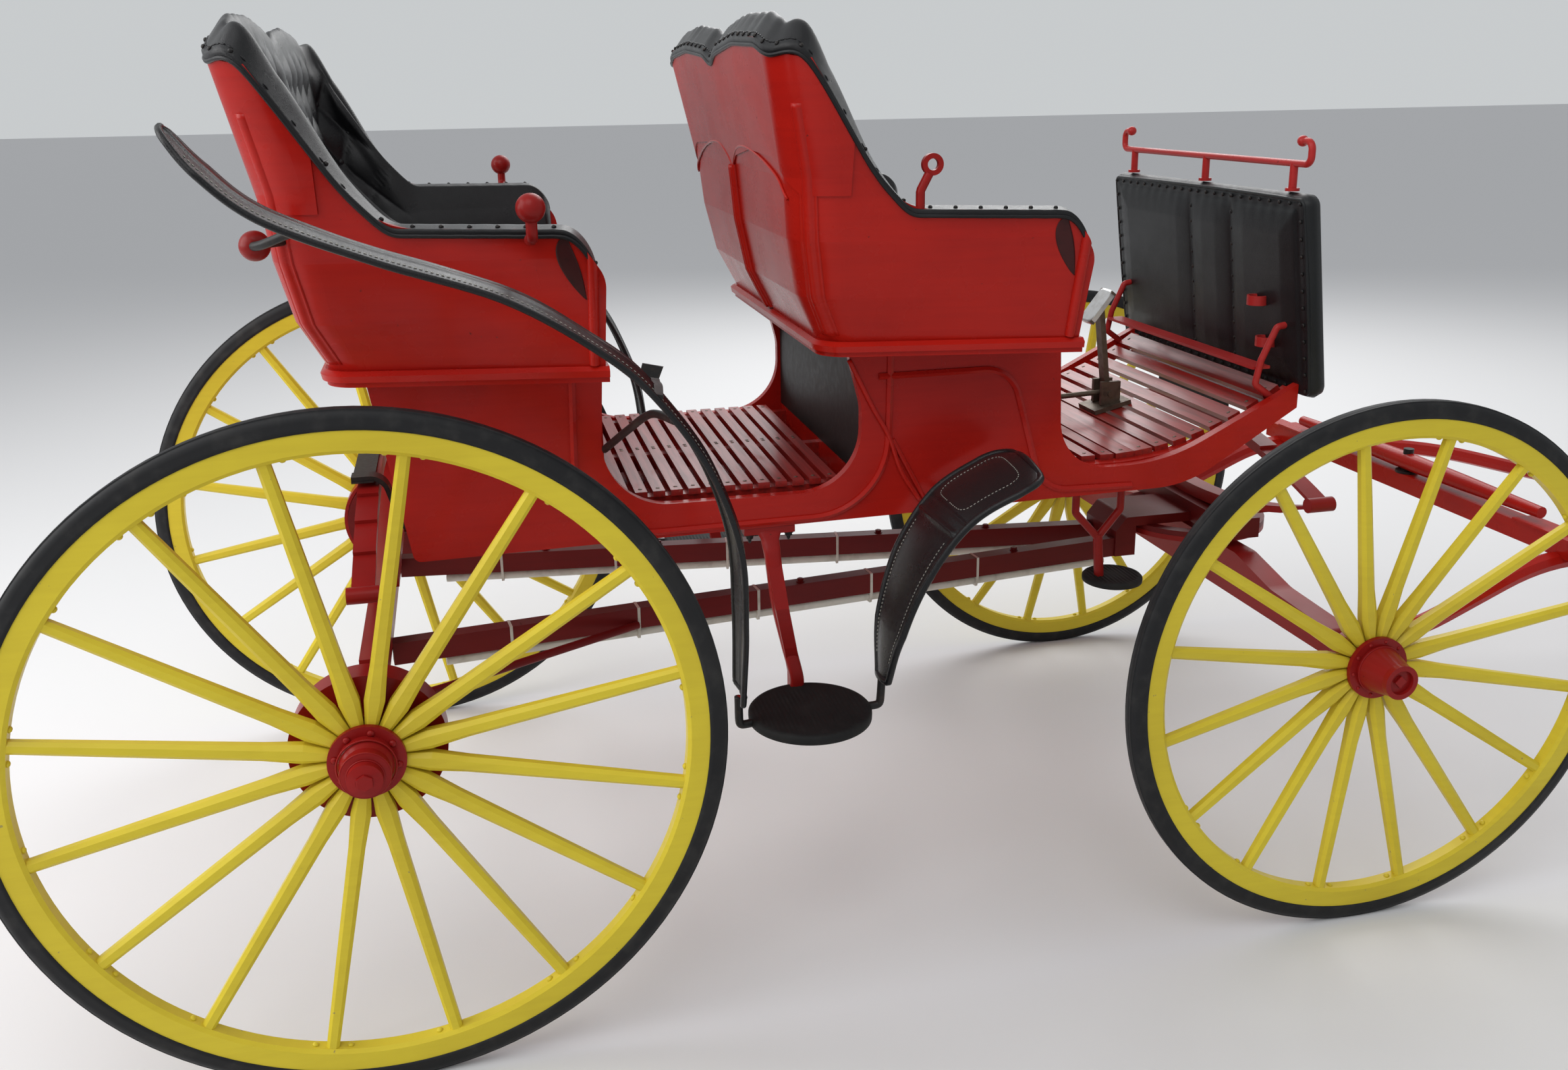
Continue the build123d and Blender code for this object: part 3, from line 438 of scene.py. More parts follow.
# the two lines that cut the shell's edge: from the side, height over x, and from behind, height over y
armsLine = [(-0.30, 0.580), (-0.110, 0.580), (-0.062, 0.508), (0.075, 0.290), (0.130, 0.245), (0.410, 0.237),
            (0.440, 0.205), (0.462, 0.150), (0.470, 0.02)]
backLine = [(0.0, 0.504), (0.060, 0.526), (0.250, 0.540), (0.430, 0.532), (0.560, 0.496), (0.90, 0.496)]


def softened(points, width, low, high):
    # a polyline as y(x), its corners rounded by averaging over the width
    x = np.linspace(low, high, 1400)
    y = np.interp(x, *np.array(points).T)
    span = max(int(width / (x[1] - x[0])) | 1, 3)
    margin = (span + 1) // 2
    window = np.hanning(span + 2)
    padded = np.pad(y, margin, mode="edge")
    return x, np.convolve(padded, window / window.sum(), mode="same")[margin:-margin]


armsCurve = softened(armsLine, 0.05, -0.30, 0.47)
backCurve = softened([(-y, z) for y, z in backLine[:0:-1]] + backLine, 0.035, -0.90, 0.90)


def shellPoint(w, h, inset):
    # on the seat's plan at height h: w runs from -1 at the right arm's front by the back's middle to 1,
    # over half the back, the rounded corner and the side; gives x, y, the outward direction and the length
    # of that half
    wide, front, back, r = (np.interp(h, seat["height"], seat[key])
                            for key in ("halfBack", "halfFront", "backX", "corner"))
    wide, front, back, r = wide - inset, front - inset, back + inset, r - inset
    long = np.hypot(seat["depth"] - back, front - wide)
    ax, ay = (seat["depth"] - back) / long, (front - wide) / long
    between = np.arccos(-ay)
    tangent = r / np.tan(between / 2)
    flat, arc = wide - tangent, r * (np.pi - between)
    total = flat + arc + long - tangent
    s = np.abs(w) * total
    turn = np.clip((s - flat) / r, 0, np.pi - between)
    along = s - flat - arc
    x = np.where(s < flat, back, np.where(along < 0, back + r - r * np.cos(turn),
                                          back + ax * (tangent + along)))
    y = np.where(s < flat, s, np.where(along < 0, flat + r * np.sin(turn), wide + ay * (tangent + along)))
    nx = np.where(along < 0, -np.cos(turn), -ay)
    ny = np.where(along < 0, np.sin(turn), ax)
    side = np.where(w < 0, -1.0, 1.0)
    return x, side * y, nx, side * ny, side * s


def shellTop(w):
    # height of the shell's upper edge at each w: the last height that lies under both cut lines
    h = np.linspace(0.0, seat["tall"], 590)[None, :]
    x, y, _, _, _ = shellPoint(w[:, None], h, seat["shell"] / 2)
    under = (h <= np.interp(x, *armsCurve)) & (h <= np.interp(y, *backCurve))
    top = h[0, np.maximum(np.cumprod(under, axis=1).sum(axis=1) - 1, 0)]
    window = np.hanning(9) / np.hanning(9).sum()
    return np.convolve(np.pad(top, 4, mode="edge"), window, mode="valid")


def tuftPuff(s, h):
    # diamonds: creases where either diagonal count is whole, buttons where both are
    a, b = s / seat["diamond"][0], (h - seat["firstButton"]) / seat["diamond"][1]
    creases = np.abs(np.sin(np.pi * (a + b)) * np.sin(np.pi * (a - b)))
    return creases**0.42


def seatPlace(which, x, y, h):
    # from a seat's own x, y and height to places in the frame
    originX, originZ = seat["places"][which]
    return np.stack(np.broadcast_arrays(originX + x, y, originZ + h), axis=-1)


def onShell(which, w, h, out):
    # places on the shell's outside, moved out from it
    x, y, nx, ny, _ = shellPoint(w, h, 0.0)
    return seatPlace(which, x + nx * out, y + ny * out, h)


def liningGrid(which):
    # round the seat by up its inner face, over its edge and down the lap: the plan moved inwards by the pad's
    # thickness and the tufts' height, then a half round; gives the grid, the share w and the edge's height
    w = np.sin(np.linspace(-1, 1, seat["columns"]) * np.pi / 2 * seat["bunch"])
    w = w / math.sin(np.pi / 2 * seat["bunch"]) * seat["cover"]
    aside = np.abs(w)
    wing = seat["wing"] * smoothStep(aside, *seat["wingIn"]) * (1 - smoothStep(aside, *seat["wingOut"]))
    top = shellTop(w) + wing
    arc = shellPoint(w, top, seat["shell"])[4]
    ending = np.sqrt(np.clip(1 - ((aside - seat["ending"]) / 0.023).clip(0, 1)**2, 0.06, 1))
    high = smoothStep(top, seat["crestFrom"], seat["crestTo"])
    crest = (seat["armCrest"] + (seat["backCrest"] - seat["armCrest"]) * high) * ending
    thick = (seat["pad"] + seat["armPad"] * (1 - high)) * ending
    # soft pulls across the crest, as gathered leather makes
    pulls = 0.0018 * high * np.sin(arc * 118) * (0.6 + 0.4 * np.sin(arc * 31 + 1))
    v = np.linspace(0, 1, seat["rows"])
    h = seat["foot"] + (top[:, None] - seat["foot"]) * v[None]
    px, py, nx, ny, s = shellPoint(w[:, None], h, seat["shell"])
    tufted = smoothStep(-px, -0.16, 0.0) * smoothStep(h, 0.07, 0.13)
    tufted = tufted * smoothStep(top[:, None] - h, -0.02, 0.06)
    # the arms' plain pads bulge in the middle, and the back is fuller just under the crest
    upward = np.clip((h - 0.08) / np.maximum(top[:, None] - 0.08, 0.02), 0, 1)
    bulge = np.sin(np.pi * upward) * 0.010 * (1 - tufted)
    near = smoothStep(h, top[:, None] - 0.10, top[:, None] - 0.01)
    fuller = seat["fuller"] * high[:, None] * near * ending[:, None]
    depth = thick[:, None] + tufted * (seat["puff"] * tuftPuff(s, h) - 0.004)
    depth = depth + bulge * ending[:, None] + fuller
    inner = np.stack([px - nx * depth, py - ny * depth, h], axis=2)
    # over the top, from the inner face to the shell's outer face, fullest inside
    turn = np.linspace(0, np.pi, seat["overRows"] + 1)[1:]
    ex, ey, enx, eny, _ = (a[:, None] for a in shellPoint(w, top, 0.0))
    start = depth[:, -1:] + seat["shell"]
    off = seat["rollOut"] - (start + seat["rollOut"]) * (1 - turn / np.pi)**0.85
    lift = (crest + pulls)[:, None] * np.sin(turn)**0.85 * (1 + 0.3 * np.cos(turn))
    roll = np.stack([ex + enx * off, ey + eny * off, top[:, None] + lift], axis=2)
    # lap down the outside, following the wall, then back inside it
    parts = [inner, roll]
    for down, out in seat["lapRows"]:
        at = top - seat["lap"] * down
        lx, ly, lnx, lny, _ = shellPoint(w, at, 0.0)
        parts.append(np.stack([lx + lnx * out, ly + lny * out, at], axis=1)[:, None])
    parts.append(np.stack([px[:, :1] + nx[:, :1] * 0.002, py[:, :1] + ny[:, :1] * 0.002, h[:, :1]], axis=2))
    local = np.concatenate(parts, axis=1)
    return seatPlace(which, local[..., 0], local[..., 1], local[..., 2]), w, top


def alongRim(values, s, places):
    # rows of values given at the lengths s, read at other lengths
    return np.stack([np.interp(places, s, values[:, k]) for k in range(values.shape[1])], axis=1)


def buildLining(which):
    # the padded sheet, with piping, tacks, gathering stitches and buttons laid on its grid
    grid, w, top = liningGrid(which)
    piece = addLoft(f"{which}SeatLining", grid, "padLeather")
    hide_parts(f"{which}_seat_lining")
    # piping along the lower edge of the lap
    low = top - seat["lap"]
    s = shellPoint(w, low, 0.0)[4]
    addLoft(f"{which}SeatPiping", tubeGrid(onShell(which, w, low, 0.004), seat["pipe"], sides=8),
            "padLeather")
    # tacks on the outer slope of the roll, and a row of gathering stitches above them round the back
    high = smoothStep(top, seat["crestFrom"], seat["crestTo"])
    column = seat["rows"] + np.round(17 + 4 * high).astype(int)
    rows = np.arange(len(w))
    rim, inside = grid[rows, column], grid[rows, column - 1]
    out = np.cross(np.gradient(rim, axis=0), rim - inside)
    out = unit(out * np.sign(out[:, 2:3]))
    places = np.arange(s[3], s[-4], seat["tackGap"])
    scatter(f"{which}SeatTacks", domeTemplate(), alongRim(rim, s, places), alongRim(out, s, places),
            seat["tack"], "blackIron")
    places = np.arange(-seat["gathered"], seat["gathered"], seat["gatherGap"])
    line, above = grid[:, seat["rows"] + 20], grid[:, seat["rows"] + 18]
    along = np.gradient(line, axis=0)
    ways = unit(above - line + 0.25 * along / np.linalg.norm(along, axis=1, keepdims=True))
    ups = np.cross(along, above - line)
    ups = unit(ups * np.sign(ups[:, 2:3]))
    stitches(f"{which}SeatGathers", *(alongRim(values, s, places) for values in (line, ways, ups)),
             0.0062, 0.0016, "padLeather")
    # buttons where the creases of the diamonds meet
    a, b = np.meshgrid(np.arange(-12, 13) / 2, np.arange(-1, 9) / 2)
    whole = np.isclose((a + b) % 1, 0) & np.isclose((a - b) % 1, 0)
    s, h = a[whole] * seat["diamond"][0], seat["firstButton"] + b[whole] * seat["diamond"][1]
    length = shellPoint(np.ones_like(h), h, seat["shell"])[4]
    sew = s / length
    x, y, nx, ny, _ = shellPoint(sew, h, seat["shell"])
    fits = (np.abs(sew) < 0.97) & (h > 0.12) & (h < np.interp(sew, w, top) - 0.03) & (x < 0.03)
    depth = seat["pad"] - 0.004
    scatter(f"{which}SeatButtons", domeTemplate(5, 12),
            seatPlace(which, x - nx * depth, y - ny * depth, h)[fits],
            -np.stack([nx, ny, 0 * nx], axis=1)[fits], (seat["button"], seat["button"], seat["button"] * 0.6),
            "padLeather")


def stitches(name, spots, ways, ups, long, wide, look):
    # each stitch is a small lens lying along the seam
    side = unit(np.cross(ups, ways))
    form = np.array([(-1, 0, 0), (-0.4, 1, 0), (0.4, 1, 0), (1, 0, 0), (0.4, -1, 0), (-0.4, -1, 0),
                     (-0.4, 0, 1), (0.4, 0, 1)], float) * [long, wide, wide]
    basis = np.stack([ways, side, ups], axis=1)
    cloud = spots[:, None] + np.einsum("pk,nkj->npj", form, basis)
    one = ((0, 1, 6), (1, 2, 7, 6), (2, 3, 7), (3, 4, 7), (4, 5, 6, 7), (5, 0, 6), (5, 4, 3, 2, 1, 0))
    faces = [[v + n * len(form) for v in face] for n in range(len(spots)) for face in one]
    addMesh(name, cloud, faces, look)


# raised bead over the middle seam of each seat's back, the double arch above it, a dark sheet of painted
# shade for the hollow scoop behind each arm's front, and a half-round bead down each corner between two fine
# grooves
seam = {
    "low": 0.006, "top": 0.298, "beadY": 0.0065, "bead": 0.0062, "beadOut": 0.0052,
    "arch": [(0.0, 0.290), (0.030, 0.316), (0.090, 0.338), (0.180, 0.340), (0.300, 0.322), (0.400, 0.292),
             (0.440, 0.262)],
    "archWire": 0.0026, "archOut": 0.0020,
    # the painted scoop shade's front edge, how far it leans and bows, its greatest width, its top and its
    # height
    "scoopX": 0.404, "scoopLean": 0.030, "scoopBow": 0.006, "scoopWide": 0.031, "scoopTop": 0.226,
    "scoopTall": 0.1085,
    "cornerLow": 0.012, "cornerTop": 0.425,
    # half the corner bead's section, from the middle out: distance along the wall and rise from it
    "corner": [(0.0, 0.0074), (0.0045, 0.0066), (0.009, 0.0042), (0.0125, 0.0006), (0.0150, 0.0030),
               (0.0175, 0.0022), (0.019, -0.001)],
}


def backPlace(which, y, h, out):
    # a place on the outside of the back, y across it: the share w is y over the length of half the plan
    return onShell(which, y / shellPoint(np.ones_like(h), h, 0.0)[4], h, out)


def wallRelief(name, which, w, h, rise, sunk, look):
    # a closed sheet over the shell's wall, its face lifted by rise and its back sunk in the wall
    skin, below = onShell(which, w, h, rise), onShell(which, w, h, -sunk)
    addLoft(name, np.concatenate([skin, below[:, ::-1]], axis=1), look)


def paintedScoopShade(which, sign):
    # a dark lens of painted shade lying on the arm, for the shade in the scoop's hollow: full width in the
    # middle of its height, nothing at its ends
    v = np.linspace(0, 1, 30)[:, None]
    front = seam["scoopX"] + seam["scoopLean"] * v**1.1 + seam["scoopBow"] * np.sin(np.pi * v)
    px = front - seam["scoopWide"] * np.sin(np.pi * v**0.75)**0.8 * np.linspace(1, 0, 10)
    h = np.broadcast_to(seam["scoopTop"] - seam["scoopTall"] * v, px.shape)
    # x to the share w, by the wall's straight run up to the arm's end
    end, before = (shellPoint(np.full(h.shape, w), h, 0.0)[0] for w in (1.0, 0.9))
    w = np.minimum(1 - 0.1 * (end - px) / (end - before), 0.99)
    wallRelief(f"{which}ArmScoopShade{hand[sign]}", which, sign * w, h, 0.0012, 0.002, "darkRed")


def cornerBead(which, sign):
    # the section's rise carried up the line where the wall faces halfway between back and side
    tall = np.linspace(seam["cornerLow"], seam["cornerTop"], 50)
    w = np.linspace(0.2, 0.8, 400)
    middle = []
    for level in tall:
        _, _, cx, cy, arc = shellPoint(w, np.full(400, level), 0.0)
        middle.append(np.interp(0.0, np.abs(cy) - np.abs(cx), arc))
    half = np.array(seam["corner"])
    across, rise = np.vstack([half[:0:-1] * [-1, 1], half]).T
    arc = np.array(middle)[:, None] + across[None]
    h = np.broadcast_to(tall[:, None], arc.shape)
    w = sign * arc / shellPoint(np.ones_like(h), h, 0.0)[4]
    wallRelief(f"{which}CornerBead{hand[sign]}", which, w, h, rise, 0.003, "redPaint")


def buildSeams(which):
    # the beads and arch are round wires along lines on the shell; the scoops' painted shade and the corner
    # beads are closed sheets
    h = np.linspace(seam["low"], seam["top"], 60)
    for sign in hand:
        path = backPlace(which, np.full(60, sign * seam["beadY"]), h, seam["beadOut"])
        addLoft(f"{which}SeatBead{hand[sign]}", tubeGrid(path, seam["bead"], side=(0, 1, 0)), "redPaint")
        across = smoothPath([(0, sign * y, z) for y, z in seam["arch"]], 70)
        path = backPlace(which, across[:, 1], across[:, 2], seam["archOut"])
        addLoft(f"{which}SeatArch{hand[sign]}", tubeGrid(path, seam["archWire"], sides=10), "redPaint")
        paintedScoopShade(which, sign)
        cornerBead(which, sign)


for which in seat["places"]:
    buildLining(which)
    buildSeams(which)
print("linings done")

# seat cushions: a piped horseshoe swelled by cloth pressure, then pulled in under its buttons
cushion = {
    "inset": 0.010, "front": 0.452, "low": 0.002, "high": 0.074, "crown": 0.012, "bulge": 0.004,
    # the cloth run: voxel of the remesh, pressure, frames, and how far a point may move
    "voxel": 0.008, "pressure": 4.0, "frames": 20, "cap": 0.030, "pipe": 0.0055,
    # a button's pull: depth and width of its pit, then of the wide dip round it
    "pit": (0.016, 0.022), "dip": (0.005, 0.06),
    "buttons": [(x, y) for x in (0.12, 0.30) for y in (-0.30, -0.10, 0.10, 0.30)],
}


def cushionOutline(count, inset):
    # the seat's plan just above the rail, closed across the front and smoothed at its corners
    x, y, _, _, _ = shellPoint(np.linspace(-1, 1, 400), np.full(400, 0.05), seat["shell"] + inset)
    rim = np.stack([x, y, 0 * x], axis=1)
    rim = rim[x < cushion["front"]]
    loop = resample(np.vstack([rim, rim[:1]]), 600)[:-1]
    window = np.hanning(31) / np.hanning(31).sum()
    ring = np.vstack([loop[-15:], loop, loop[:15]])
    loop = np.stack([np.convolve(ring[:, k], window, mode="valid") for k in range(3)], axis=1)
    return resample(np.vstack([loop, loop[:1]]), count + 1)[:-1]


def pillowGrid(outline, low, high, crown, bulge):
    # rings from the middle of the underside out, up the side and back to the middle of the top
    middle = outline.mean(axis=0)
    flat = 12
    share = np.concatenate([np.linspace(0.02, 0.97, flat), [1.0, 1.0, 1.0], np.linspace(0.97, 0.02, flat)])
    lift = np.concatenate([np.zeros(flat), [0.2, 0.5, 0.8], np.ones(flat)])
    out = np.concatenate([np.zeros(flat), [0.7, 1.0, 0.7], np.zeros(flat)]) * bulge
    rim = outline - middle
    grid = middle + rim[None] * share[:, None, None] + unit(rim)[None] * out[:, None, None]
    rise = np.where(np.arange(len(share)) > flat + 1, crown * (1 - share**2.2), 0)
    grid[..., 2] = (low + (high - low) * lift + rise)[:, None]
    return grid


def swell(piece, pressure, cap, frames, voxel):
    # remesh, let cloth pressure fill the piece, cap how far each point moved, and keep the result as its mesh
    remesh = piece.modifiers.new("remesh", "REMESH")
    remesh.mode, remesh.voxel_size, remesh.use_smooth_shade = "VOXEL", voxel, True
    settle(piece)
    start = pointsOf(piece.data)
    cloth = piece.modifiers.new("cloth", "CLOTH")
    setting = cloth.settings
    setting.use_pressure, setting.uniform_pressure_force = True, pressure
    setting.tension_stiffness = setting.compression_stiffness = 12
    setting.effector_weights.gravity = 0
    cloth.point_cache.frame_start, cloth.point_cache.frame_end = 1, frames
    for number in range(1, frames + 1):
        bpy.context.scene.frame_set(number)
    settle(piece)
    bpy.context.scene.frame_set(1)
    moved = pointsOf(piece.data) - start
    far = np.linalg.norm(moved, axis=1, keepdims=True)
    setPoints(piece.data, start + moved * np.minimum(1, cap / np.maximum(far, 1e-9)))


def settle(piece):
    # the modifiers' result becomes the mesh
    graph = bpy.context.evaluated_depsgraph_get()
    mesh = bpy.data.meshes.new_from_object(piece.evaluated_get(graph), depsgraph=graph)
    old = piece.data
    piece.modifiers.clear()
    piece.data = mesh
    mesh.name = piece.name
    bpy.data.meshes.remove(old)


def pointsOf(mesh):
    # a mesh's points as an array
    points = np.empty(len(mesh.vertices) * 3, dtype=np.float32)
    mesh.vertices.foreach_get("co", points)
    return points.reshape(-1, 3).astype(float)


def setPoints(mesh, points):
    # an array as a mesh's points
    mesh.vertices.foreach_set("co", np.asarray(points, dtype=np.float32).ravel())
    mesh.update()


def buildCushion(which):
    # the swelled pillow with pits under its buttons, and piping that follows its sides
    originX, originZ = seat["places"][which]
    origin = [originX, 0, originZ]
    outline = cushionOutline(160, cushion["inset"])
    grid = pillowGrid(outline, *(cushion[key] for key in ("low", "high", "crown", "bulge"))) + origin
    piece = addLoft(f"{which}SeatCushion", grid, "padLeather")
    swell(piece, *(cushion[key] for key in ("pressure", "cap", "frames", "voxel")))
    # keep the underside flat on the seat board, and sink the top under the buttons
    local = pointsOf(piece.data) - origin
    local[:, 2] = np.maximum(local[:, 2], cushion["low"])
    upper = smoothStep(local[:, 2], cushion["high"] - 0.02, cushion["high"] + 0.01)
    (pit, pitWide), (dip, dipWide) = cushion["pit"], cushion["dip"]
    for bx, by in cushion["buttons"]:
        apart = np.hypot(local[:, 0] - bx, local[:, 1] - by)
        local[:, 2] -= upper * (pit * np.exp(-(apart / pitWide)**2) + dip * np.exp(-apart / dipWide))
    setPoints(piece.data, local + origin)
    piece.data.shade_smooth()
    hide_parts("seat_cushions")
    # buttons on the new surface, and piping along the upper and lower edges
    top = pointsOf(piece.data) - origin
    spots = []
    for bx, by in cushion["buttons"]:
        near = np.hypot(top[:, 0] - bx, top[:, 1] - by) < 0.012
        spots.append((originX + bx, by, originZ + top[near & (top[:, 2] > 0.05), 2].mean()))
    scatter(f"{which}CushionButtons", domeTemplate(5, 12), spots, (0, 0, 1), (0.009, 0.009, 0.005),
            "padLeather")
    for order, lift in enumerate((cushion["low"] + 0.006, cushion["high"] - 0.002)):
        path = sidePath(top, lift)
        addLoft(f"{which}CushionPiping{order}", tubeGrid(path + origin, cushion["pipe"], sides=8),
                "padLeather", wrapRows=True)


def sidePath(points, lift):
    # a ring round the cushion at that height: its outline, each point pushed out to the swollen side by the
    # furthest reach of the points in its direction
    ring = cushionOutline(260, cushion["inset"])
    middle = ring.mean(axis=0)
    side = points[np.abs(points[:, 2] - lift) < 0.012]
    angle = np.arctan2(side[:, 1] - middle[1], side[:, 0] - middle[0])
    reach = np.hypot(side[:, 1] - middle[1], side[:, 0] - middle[0])
    count = 180
    edges = np.linspace(-np.pi, np.pi, count + 1)
    bins = np.digitize(angle, edges)
    most = np.array([reach[bins == k].max() if (bins == k).any() else np.nan for k in range(1, count + 1)])
    centres = edges[:-1] + np.pi / count
    good = ~np.isnan(most)
    turn = np.arctan2(ring[:, 1] - middle[1], ring[:, 0] - middle[0])
    want = np.interp(turn, centres[good], most[good], period=2 * np.pi)
    path = middle + np.stack([np.cos(turn), np.sin(turn), 0 * turn], axis=1) * (want - 0.002)[:, None]
    path[:, 2] = lift
    return path


for which in seat["places"]:
    buildCushion(which)
print("cushions done")

# dash: leather over a board in three puffed panels, tacked along two seams and all round
dashForm = {
    "low": (rearX + 1.888, 0.985), "high": (rearX + 1.834, 1.400), "half": 0.400, "tall": 0.4185,
    "thick": 0.036, "seams": (0.036, -0.130), "seamLean": 0.010, "border": 0.030, "corner": 0.026,
    "puff": 0.010, "frontPuff": 0.004, "edge": 0.016, "tackGap": 0.034, "tack": (0.0042, 0.0042, 0.0032),
    "pipe": 0.0040, "columns": 161, "rows": 90,
}


def dashPlace(y, up, out):
    # up runs 0..1 from the lower edge to the upper one, out is the distance behind the middle plane
    (x0, z0), (x1, z1) = dashForm["low"], dashForm["high"]
    tall = math.hypot(x1 - x0, z1 - z0)
    rise = np.array([(x1 - x0) / tall, 0, (z1 - z0) / tall])
    back = np.array([-rise[2], 0, rise[0]])
    up = np.asarray(up)[..., None] * tall
    base = np.array([x0, 0, z0])
    return base + up * rise + np.asarray(out)[..., None] * back + np.asarray(y)[..., None] * [0, 1, 0]


def dashPuff(y, up):
    # height of the padding above the board: full in each panel, nothing on the seams and the border
    tall = dashForm["tall"]
    edge = np.minimum(dashForm["half"] - np.abs(y), np.minimum(up, 1 - up) * tall) - dashForm["border"]
    near = np.full(np.shape(y), 1.0)
    for seamY in dashForm["seams"]:
        gap = np.abs(y - seamY + dashForm["seamLean"] * (up - 0.5))
        near = np.minimum(near, np.clip(gap / 0.055, 0, 1)**0.5)
    rim = np.clip(edge / 0.05, 0, 1)**0.5
    wrinkle = 0.0005 * np.sin(y * 170) * np.exp(-np.clip(edge, 0, 1) / 0.015)
    return dashForm["puff"] * np.minimum(near, 1) * rim + wrinkle


def buildDash():
    # two faces over y and the share up, each the board's half thickness plus its padding, meeting at the rim
    tall, half, thick, r = dashForm["tall"], dashForm["half"], dashForm["thick"] / 2, dashForm["corner"]
    columns, rows = dashForm["columns"], dashForm["rows"]
    yy, uu = np.meshgrid(np.linspace(-half, half, columns), np.linspace(0, 1, rows), indexing="ij")
    # pull the corners in to a round outline
    overY = np.clip(np.abs(yy) - (half - r), 0, r)
    overZ = np.clip(np.abs(uu - 0.5) * tall - (tall / 2 - r), 0, r)
    far = np.hypot(overY, overZ)
    pull = np.where(far > 1e-9, np.maximum(overY, overZ) / np.maximum(far, 1e-9), 1)
    yy = np.sign(yy) * (np.abs(yy) - overY * (1 - pull))
    uu = 0.5 + np.sign(uu - 0.5) * (np.abs(uu - 0.5) - overZ * (1 - pull) / tall)
    # the wrapped edge is a half round of the board's thickness
    edge = np.minimum(half - np.abs(yy), (0.5 - np.abs(uu - 0.5)) * tall)
    edge = np.where((overY > 0) & (overZ > 0), r - far * pull, edge)
    wrap = np.sqrt(np.clip(1 - (1 - np.clip(edge / dashForm["edge"], 0, 1))**2, 0, 1))
    back = thick * wrap + dashPuff(yy, uu) * wrap
    front = thick * wrap + dashForm["frontPuff"] * wrap
    rear, ahead = dashPlace(yy, uu, back), dashPlace(yy, uu, -front)
    faces = gridFaces(columns, rows)
    faces += [[v + yy.size for v in face[::-1]] for face in faces]
    points = np.concatenate([rear.reshape(-1, 3), ahead.reshape(-1, 3)])
    dash = addMesh("dashPadding", points, faces, "dashLeather")
    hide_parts("dash")
    # tacks: a line inside the border all round, and one on either seam
    gap = dashForm["tackGap"]
    inset = dashForm["border"] - 0.012
    across = np.linspace(-half + inset, half - inset, int(2 * half / gap))
    along = np.linspace(inset / tall, 1 - inset / tall, int(tall / gap))
    lines = [(across, np.full_like(across, 1 - inset / tall)), (across, np.full_like(across, inset / tall))]
    lines += [(np.full_like(along, side * (half - inset)), along) for side in hand]
    lines += [(seamY - dashForm["seamLean"] * (along - 0.5), along) for seamY in dashForm["seams"]]
    ty, tu = (np.concatenate(values) for values in zip(*lines))
    normal = dashPlace(0.0, 0.0, 1.0) - dashPlace(0.0, 0.0, 0.0)
    scatter("dashTacks", domeTemplate(4, 10), dashPlace(ty, tu, thick + 0.001 + dashPuff(ty, tu)), normal,
            dashForm["tack"], "blackIron")
    # piping round the rear rim, a little inside the outline
    turn, inside = circle(160), 0.007
    ry = np.clip(np.cos(turn) * 2, -1, 1) * (half - r) + np.cos(turn) * r
    ru = np.clip(np.sin(turn) * 2, -1, 1) * (tall / 2 - r) + np.sin(turn) * r
    ry, ru = ry * (1 - inside / half), 0.5 + ru * (1 - inside / (tall / 2)) / tall
    loop = dashPlace(ry, ru, np.full(160, thick - 0.003))
    ring = tubeGrid(resample(np.vstack([loop, loop[:1]]), 400)[:-1], dashForm["pipe"], side=normal, sides=8)
    addLoft("dashPiping", ring, "dashLeather", wrapRows=True)


buildDash()
print("dash done")

# mudguards: crowned leather over an iron frame, a rolled edge all round, stitched
guardRows = {
    # x from the axle, distance inside the wheel's middle, z, width, as in the CAD, in metres
    "rear": (rearX, [(-0.185, 0.021, 1.580, 0.060), (-0.140, 0.021, 1.520, 0.112),
                     (-0.060, 0.021, 1.452, 0.118), (0.090, 0.021, 1.388, 0.118),
                     (0.265, 0.021, 1.325, 0.118), (0.400, 0.023, 1.240, 0.118),
                     (0.485, 0.027, 1.160, 0.116), (0.570, 0.041, 1.030, 0.112), (0.622, 0.071, 0.880, 0.106),
                     (0.636, 0.111, 0.720, 0.096), (0.640, 0.155, 0.560, 0.070)]),
    "splash": (frontX, [(-0.651, 0.201, 0.935, 0.210), (-0.706, 0.206, 0.915, 0.218),
                        (-0.796, 0.211, 0.862, 0.205), (-0.871, 0.209, 0.762, 0.185),
                        (-0.918, 0.201, 0.640, 0.140), (-0.934, 0.193, 0.540, 0.060)]),
}
guardForm = {
    "crown": 0.009, "skin": 0.0045, "steps": 170, "across": 45,
    "roll": {"rear": 0.0056, "splash": 0.0068}, "corner": {"rear": 0.026, "splash": 0.040},
    # the splash guard's welt: its share down, rise and width; the dish below it; the groove after it
    "welt": 0.385, "weltRise": (0.0062, 0.011), "dish": 0.0030, "groove": (0.0022, 0.055, 0.006),
    # the rear guard's two ribs: rise, share across, width
    "rib": (0.0024, 0.30, 0.09),
    # stitches: gap, half length and half width; shares across of the rows, and the round-cornered field's
    # middle and half height down, half width and squareness
    "stitchGap": {"rear": 0.0080, "splash": 0.0075}, "stitch": (0.0029, 0.0010),
    "rearRow": 0.74, "splashRow": 0.78, "field": (0.185, 0.125, 0.66, 0.35),
    "ball": 0.0235, "ballPlace": (-0.098, 0.560, 1.398), "rod": 0.0072,
    # where the two lengths of the rear guard meet: share down, then offsets for the clip's section and its
    # folded tab
    "clipAt": 0.55, "clip": [(-0.007, 0, -0.002), (0.007, 0, -0.005), (0.007, 0, 0.001), (-0.007, 0, 0.004)],
    "tab": [(-0.016, -0.004, 0.0), (0.016, -0.004, -0.006), (0.026, 0.004, 0.014), (-0.008, 0.004, 0.022)],
    "tabThick": (0.001, 0.004, 0.0),
}


